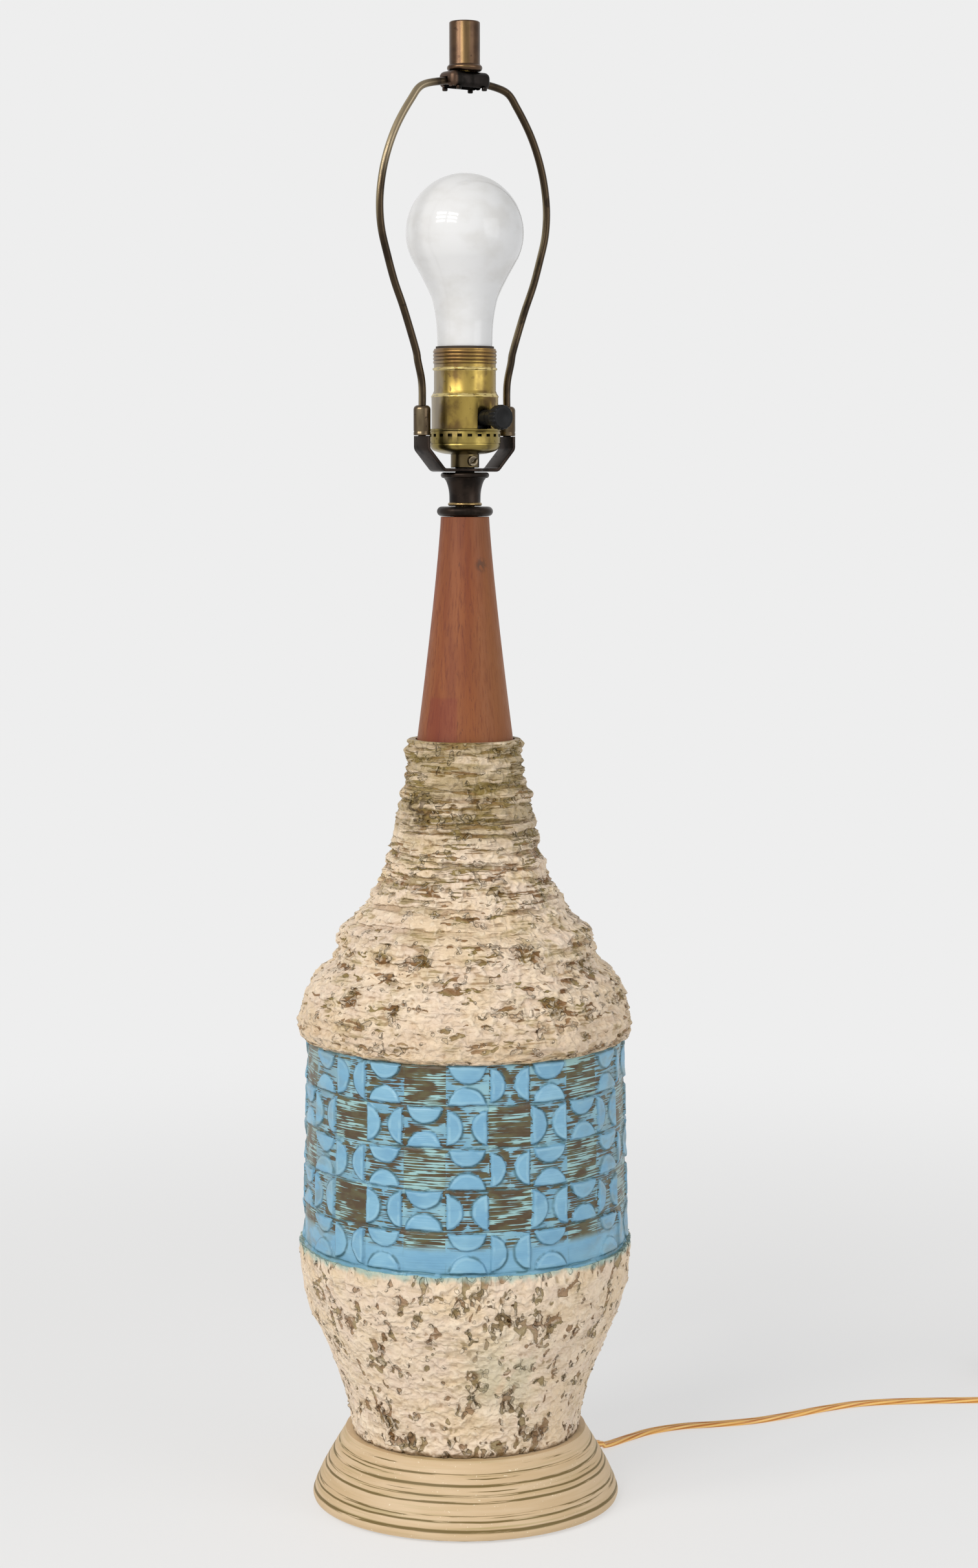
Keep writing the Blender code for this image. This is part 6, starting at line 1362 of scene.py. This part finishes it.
# Harp: two brass wires with a brown patina, bent to a tall loop and crimped in a black channel. A
# drawn ferrule on each leg slides over the saddle's tab and locks the harp on the lamp.
WIRE_RADIUS = 0.00195
WIRE_FOOT = 0.5728
WIRE_TOP = 0.7442
WIRE_STEP = 0.0016
HARP_HEIGHT = 0.1714
HARP_HALF_WIDTH = 0.0535
HARP_LEG_STRAIGHT = 0.0172
HARP_OUTLINE_SHARES = [(0.170, 0.562), (0.208, 0.589), (0.324, 0.725), (0.401, 0.830), (0.478, 0.912),
                       (0.555, 0.981), (0.631, 1.000), (0.709, 0.972), (0.785, 0.905), (0.862, 0.794),
                       (0.938, 0.632), (0.982, 0.499)]
CHANNEL_LENGTH = 0.0250
CHANNEL_GRIP = 0.0060
SLEEVE_LOW = 0.5640
SLEEVE_HEIGHT = 0.0154
SLEEVE_OUTER = 0.0044
SLEEVE_INNER = 0.0032
SLEEVE_MOUTH = 0.00225
SLEEVE_DOME_START = 180 / 2.2
SLEEVE_RING = 0.0015
SLEEVE_RING_WIDTH = 0.0003
SLEEVE_RING_DEPTH = 0.00015
SLEEVE_EASE = 0.0002
antique = old_metal("antique_wire", (66, 55, 42), (44, 37, 30), 0.5, 0.030, 0.28, 0.38, 0.00003)
x, _, height = antique.places().parts()
# Painted highlights: the top left of the loop is lighter and silvery, and the side of the wires that faces
# the window panes is lighter.
silvery_highlight = x.ramped(-0.012, -0.022) * height.ramped(0.690, 0.715)
antique.overlay((silvery_highlight * 0.75, (146, 132, 108)))
paint_highlight(antique, (-0.7, -0.6, 0.30), (176, 160, 128), 0.82, 0.97, 0.6)
ferrule = old_metal("drawn_ferrule", (84, 71, 55), (56, 46, 36), 0.45, 0.014, 0.28, 0.42, 0.00003)
# Painted highlight on the front of each ferrule.
paint_highlight(ferrule, (-0.25, -1, 0), (128, 114, 90), 0.80, 0.98, 0.7)
wire = [(LEG_SPREAD, WIRE_FOOT), (LEG_SPREAD, WIRE_FOOT + HARP_LEG_STRAIGHT),
        *[(HARP_HALF_WIDTH * across, WIRE_FOOT + HARP_HEIGHT * up) for up, across in HARP_OUTLINE_SHARES],
        (CHANNEL_LENGTH / 2, WIRE_TOP), (CHANNEL_LENGTH / 2 - CHANNEL_GRIP, WIRE_TOP)]
wall = SLEEVE_OUTER - SLEEVE_INNER
sleeve_top = SLEEVE_LOW + SLEEVE_HEIGHT
ledge = sleeve_top - wall
dome = SLEEVE_OUTER / 2
ring_low = SLEEVE_LOW + SLEEVE_RING
sleeve_outline = [
    (SLEEVE_MOUTH, sleeve_top), *arc((SLEEVE_OUTER - dome, sleeve_top - dome), dome, SLEEVE_DOME_START, 0, 9),
    (SLEEVE_OUTER, ring_low + 3 * SLEEVE_RING_WIDTH),
    (SLEEVE_OUTER - SLEEVE_RING_DEPTH, ring_low + 2 * SLEEVE_RING_WIDTH),
    (SLEEVE_OUTER - SLEEVE_RING_DEPTH, ring_low + SLEEVE_RING_WIDTH), (SLEEVE_OUTER, ring_low),
    (SLEEVE_OUTER, SLEEVE_LOW + SLEEVE_EASE), (SLEEVE_OUTER - SLEEVE_EASE, SLEEVE_LOW),
    (SLEEVE_INNER, SLEEVE_LOW), (SLEEVE_INNER, ledge), (SLEEVE_MOUTH, ledge)]
sides = ((-1, "left"), (1, "right"))
for side, word in sides:
    line = even_line(smooth_line([(side * x, 0, height) for x, height in wire], 8), WIRE_STEP)
    bar = swept("harp_loop_" + word, line, (0, 1, 0), arc((0, 0), WIRE_RADIUS, 0, 360, 16)[:-1], antique)
    stood(bar, harp_frame)
    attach(bar, "harp")
    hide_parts("harp_wire_" + word)
for side, word in sides:
    sleeve = turned("ferrule_" + word, sleeve_outline, 64, ferrule)
    stood(sleeve, harp_frame @ Matrix.Translation((side * LEG_SPREAD, 0, 0)))
    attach(sleeve, "sleeve_" + word)
    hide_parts("harp_sleeve_" + word)

# Channel: black lacquered steel, folded over the wires' ends and crimped on them, with the finial's
# stud through its top. The finial is drawn brass that has gone brown, with a rolled bead at its foot.
CHANNEL_TOP = 0.7494
CHANNEL_WIDTH = 0.0135
CHANNEL_HEIGHT = 0.0086
CHANNEL_WALL = 0.0014
CHANNEL_ROUNDING = 0.0030
CHANNEL_BROWN_END = 0.0040
WIRE_SLOT_GAP = 0.0003
LUG_RADIUS = 0.0014
LUG_DROP = 0.0010
FINIAL_SEAT = 0.7497
FINIAL_HEIGHT = 0.0252
FINIAL_RADIUS = 0.0079
FINIAL_ROUNDING = 0.0009
FINIAL_BEAD_RADIUS = 0.0091
FINIAL_BEAD_HEIGHT = 0.0034
FINIAL_BEAD_GROOVE = 0.0004
FINIAL_WALL = 0.0010
FINIAL_CORE_RADIUS = 0.0052
FINIAL_BORE = 0.0034
FINIAL_BORE_TOP = 0.0160


def block(name, size, centre, finish, rounding=0.0):
    """A box, with rounded edges where its rounding is given."""
    shape = bmesh.new()
    bmesh.ops.create_cube(shape, size=1.0)
    bmesh.ops.scale(shape, vec=size, verts=shape.verts)
    bmesh.ops.translate(shape, vec=(0, 0, centre), verts=shape.verts)
    if rounding:
        bmesh.ops.bevel(shape, geom=shape.edges[:], offset=rounding, segments=5, profile=0.5, affect="EDGES")
    shape.verts.index_update()
    points = [vertex.co.copy() for vertex in shape.verts]
    faces = [tuple(vertex.index for vertex in face.verts) for face in shape.faces]
    shape.free()
    return new_piece(name, points, faces, finish)


black_lacquer = old_metal("black_lacquer", (40, 36, 34), (26, 24, 22), 0.6, 0.012, 0.34, 0.42, 0.00001)
x, y, _ = black_lacquer.places().parts()
along = x * math.cos(HARP_TURN) + y * math.sin(HARP_TURN)
end = CHANNEL_LENGTH / 2
brown_end = along.ramped(CHANNEL_BROWN_END - end, CHANNEL_BROWN_END / 2 - end, 0, 0.9)
black_lacquer.overlay((brown_end, (84, 66, 54)))
middle = CHANNEL_TOP - CHANNEL_HEIGHT / 2
channel = block("wire_channel", (CHANNEL_LENGTH, CHANNEL_WIDTH, CHANNEL_HEIGHT), middle, black_lacquer,
                CHANNEL_ROUNDING)
hollow = (CHANNEL_LENGTH - 2 * CHANNEL_WALL, CHANNEL_WIDTH - 2 * CHANNEL_WALL, CHANNEL_HEIGHT)
cut(channel, block("hollow", hollow, middle - CHANNEL_WALL, black_lacquer))
wire_space = WIRE_RADIUS + WIRE_SLOT_GAP
cut(channel, block("wire_slot", (CHANNEL_LENGTH * 1.5, 2 * wire_space, CHANNEL_HEIGHT),
                   WIRE_TOP + wire_space - CHANNEL_HEIGHT / 2, black_lacquer))
stud_hole = disc(FINIAL_BORE, CHANNEL_TOP + CHANNEL_WALL, CHANNEL_TOP - 2 * CHANNEL_WALL)
cut(channel, turned("stud_hole", stud_hole, 40, black_lacquer))
channel_low = CHANNEL_TOP - CHANNEL_HEIGHT
lug_outline = eased(disc(LUG_RADIUS, channel_low + LUG_DROP, channel_low - LUG_DROP), LUG_RADIUS / 2)
for x in (-1, 1):
    for y in (-1, 1):
        lug = turned("crimp_lug", lug_outline, 24, black_lacquer)
        stood(lug, Matrix.Translation((x * (CHANNEL_LENGTH / 2 - CHANNEL_ROUNDING - LUG_RADIUS),
                                       y * (CHANNEL_WIDTH - CHANNEL_WALL) / 2, 0)))
        cut(channel, lug, "UNION")
channel.data.set_sharp_from_angle(angle=math.radians(35))
stood(channel, harp_frame)
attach(channel, "harp")
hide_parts("harp_channel")

brown_brass = old_metal("brown_brass", (88, 68, 52), (66, 50, 40), 0.45, 0.024, 0.30, 0.36, 0.00001)
# Painted highlight: a narrow lighter stripe down the front of the finial.
paint_highlight(brown_brass, (0.06, -1, 0), (132, 108, 70), 0.92, 0.998, 0.6)
bead_half = FINIAL_BEAD_HEIGHT / 2
inner = FINIAL_RADIUS - FINIAL_WALL
ceiling = FINIAL_HEIGHT - FINIAL_WALL
edge = (FINIAL_RADIUS - FINIAL_ROUNDING, FINIAL_HEIGHT - FINIAL_ROUNDING)
outline = [(0, FINIAL_HEIGHT), *arc(edge, FINIAL_ROUNDING, 90, 0, 7),
           (FINIAL_RADIUS, FINIAL_BEAD_HEIGHT + FINIAL_BEAD_GROOVE),
           *rounded_edge(FINIAL_BEAD_RADIUS, bead_half, bead_half, 16)[2:],
           (inner, 0), (inner, ceiling), (FINIAL_CORE_RADIUS, ceiling),
           (FINIAL_CORE_RADIUS, FINIAL_BEAD_HEIGHT), (FINIAL_BORE, FINIAL_BEAD_HEIGHT),
           (FINIAL_BORE, FINIAL_BORE_TOP), (0, FINIAL_BORE_TOP)]
finial = turned("drawn_finial", outline, 96, brown_brass)
stood(finial, Matrix.Translation((0, 0, FINIAL_SEAT)))
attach(finial, "finial")
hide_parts("finial")

# Floor and light: a pale table top that fades into a pale backdrop, a window of six soft panes at the
# upper left and a weaker soft lamp at the right, as in the room where the lamp was photographed.
FLOOR_RADIUS = 3.0
FADE_START = 0.40
FADE_END = 1.30
BACKDROP = (238, 238, 238)
TABLE = (242, 241, 240)
TABLE_GLOW_SHARE = 0.6
SURROUNDING_LIGHT = 0.43
LIGHT_TARGET = (0, 0, 0.35)
WINDOW_PLACE = (-1.3, -1.7, 1.7)
WINDOW_PANE_SIZE = (0.80, 0.15)
WINDOW_ROWS = (-0.30, 0, 0.30)
WINDOW_COLUMNS = (-0.50, 0.50)
WINDOW_POWER = 43
WINDOW_COLOUR = (1, 0.98, 0.95)
FILL_PLACE = (1.7, -1.2, 0.9)
FILL_SIZE = (1.2, 1.2)
FILL_POWER = 10
FILL_COLOUR = (0.95, 0.97, 1)
floor_mesh = bpy.data.meshes.new("floor")
shape = bmesh.new()
bmesh.ops.create_circle(shape, cap_ends=True, segments=64, radius=FLOOR_RADIUS)
shape.to_mesh(floor_mesh)
shape.free()
floor = bpy.data.objects.new("floor", floor_mesh)
bpy.context.scene.collection.objects.link(floor)
table = Finish("pale_table", TABLE, 0.7, specular_ior_level=0.2)
floor_mesh.materials.append(table.material)
fade = table.places().vector("LENGTH").ramped(FADE_START, FADE_END, TABLE_GLOW_SHARE, 1.0)
glow = place(table.tree, "ShaderNodeEmission", {"Color": paint(BACKDROP), "Strength": 1.0})
faded = place(table.tree, "ShaderNodeMixShader", {0: fade, 1: Pattern(table.shader), 2: Pattern(glow)})
table.tree.links.new(faded.outputs[0], table.tree.nodes["Material Output"].inputs["Surface"])

world = bpy.data.worlds.new("studio")
bpy.context.scene.world = world
world.use_nodes = True
tree = world.node_tree
light = tree.nodes["Background"]
light.inputs["Color"].default_value = (1, 1, 1, 1)
light.inputs["Strength"].default_value = SURROUNDING_LIGHT
seen = place(tree, "ShaderNodeBackground", {"Color": paint(BACKDROP), "Strength": 1.0})
ray = place(tree, "ShaderNodeLightPath")
direct = most(*[Pattern(ray, kind) for kind in ("Is Camera Ray", "Is Glossy Ray", "Is Transmission Ray")])
both = place(tree, "ShaderNodeMixShader", {0: direct, 1: Pattern(light), 2: Pattern(seen)})
tree.links.new(both.outputs[0], tree.nodes["World Output"].inputs["Surface"])


def soft_lamp(name, start, shift, size, power, colour):
    """A lit pane that faces the lamp, shifted sideways and up in its own plane."""
    data = bpy.data.lights.new(name, "AREA")
    data.shape = "RECTANGLE"
    data.size, data.size_y = size
    data.energy = power
    data.color = colour
    lamp = bpy.data.objects.new(name, data)
    turn = (Vector(LIGHT_TARGET) - Vector(start)).to_track_quat("-Z", "Y")
    lamp.location = Vector(start) + turn @ Vector((*shift, 0))
    lamp.rotation_euler = turn.to_euler()
    bpy.context.scene.collection.objects.link(lamp)


pane_power = WINDOW_POWER / (len(WINDOW_ROWS) * len(WINDOW_COLUMNS))
for up in WINDOW_ROWS:
    for across in WINDOW_COLUMNS:
        soft_lamp("window_pane", WINDOW_PLACE, (across, up), WINDOW_PANE_SIZE, pane_power, WINDOW_COLOUR)
soft_lamp("fill", FILL_PLACE, (0, 0), FILL_SIZE, FILL_POWER, FILL_COLOUR)
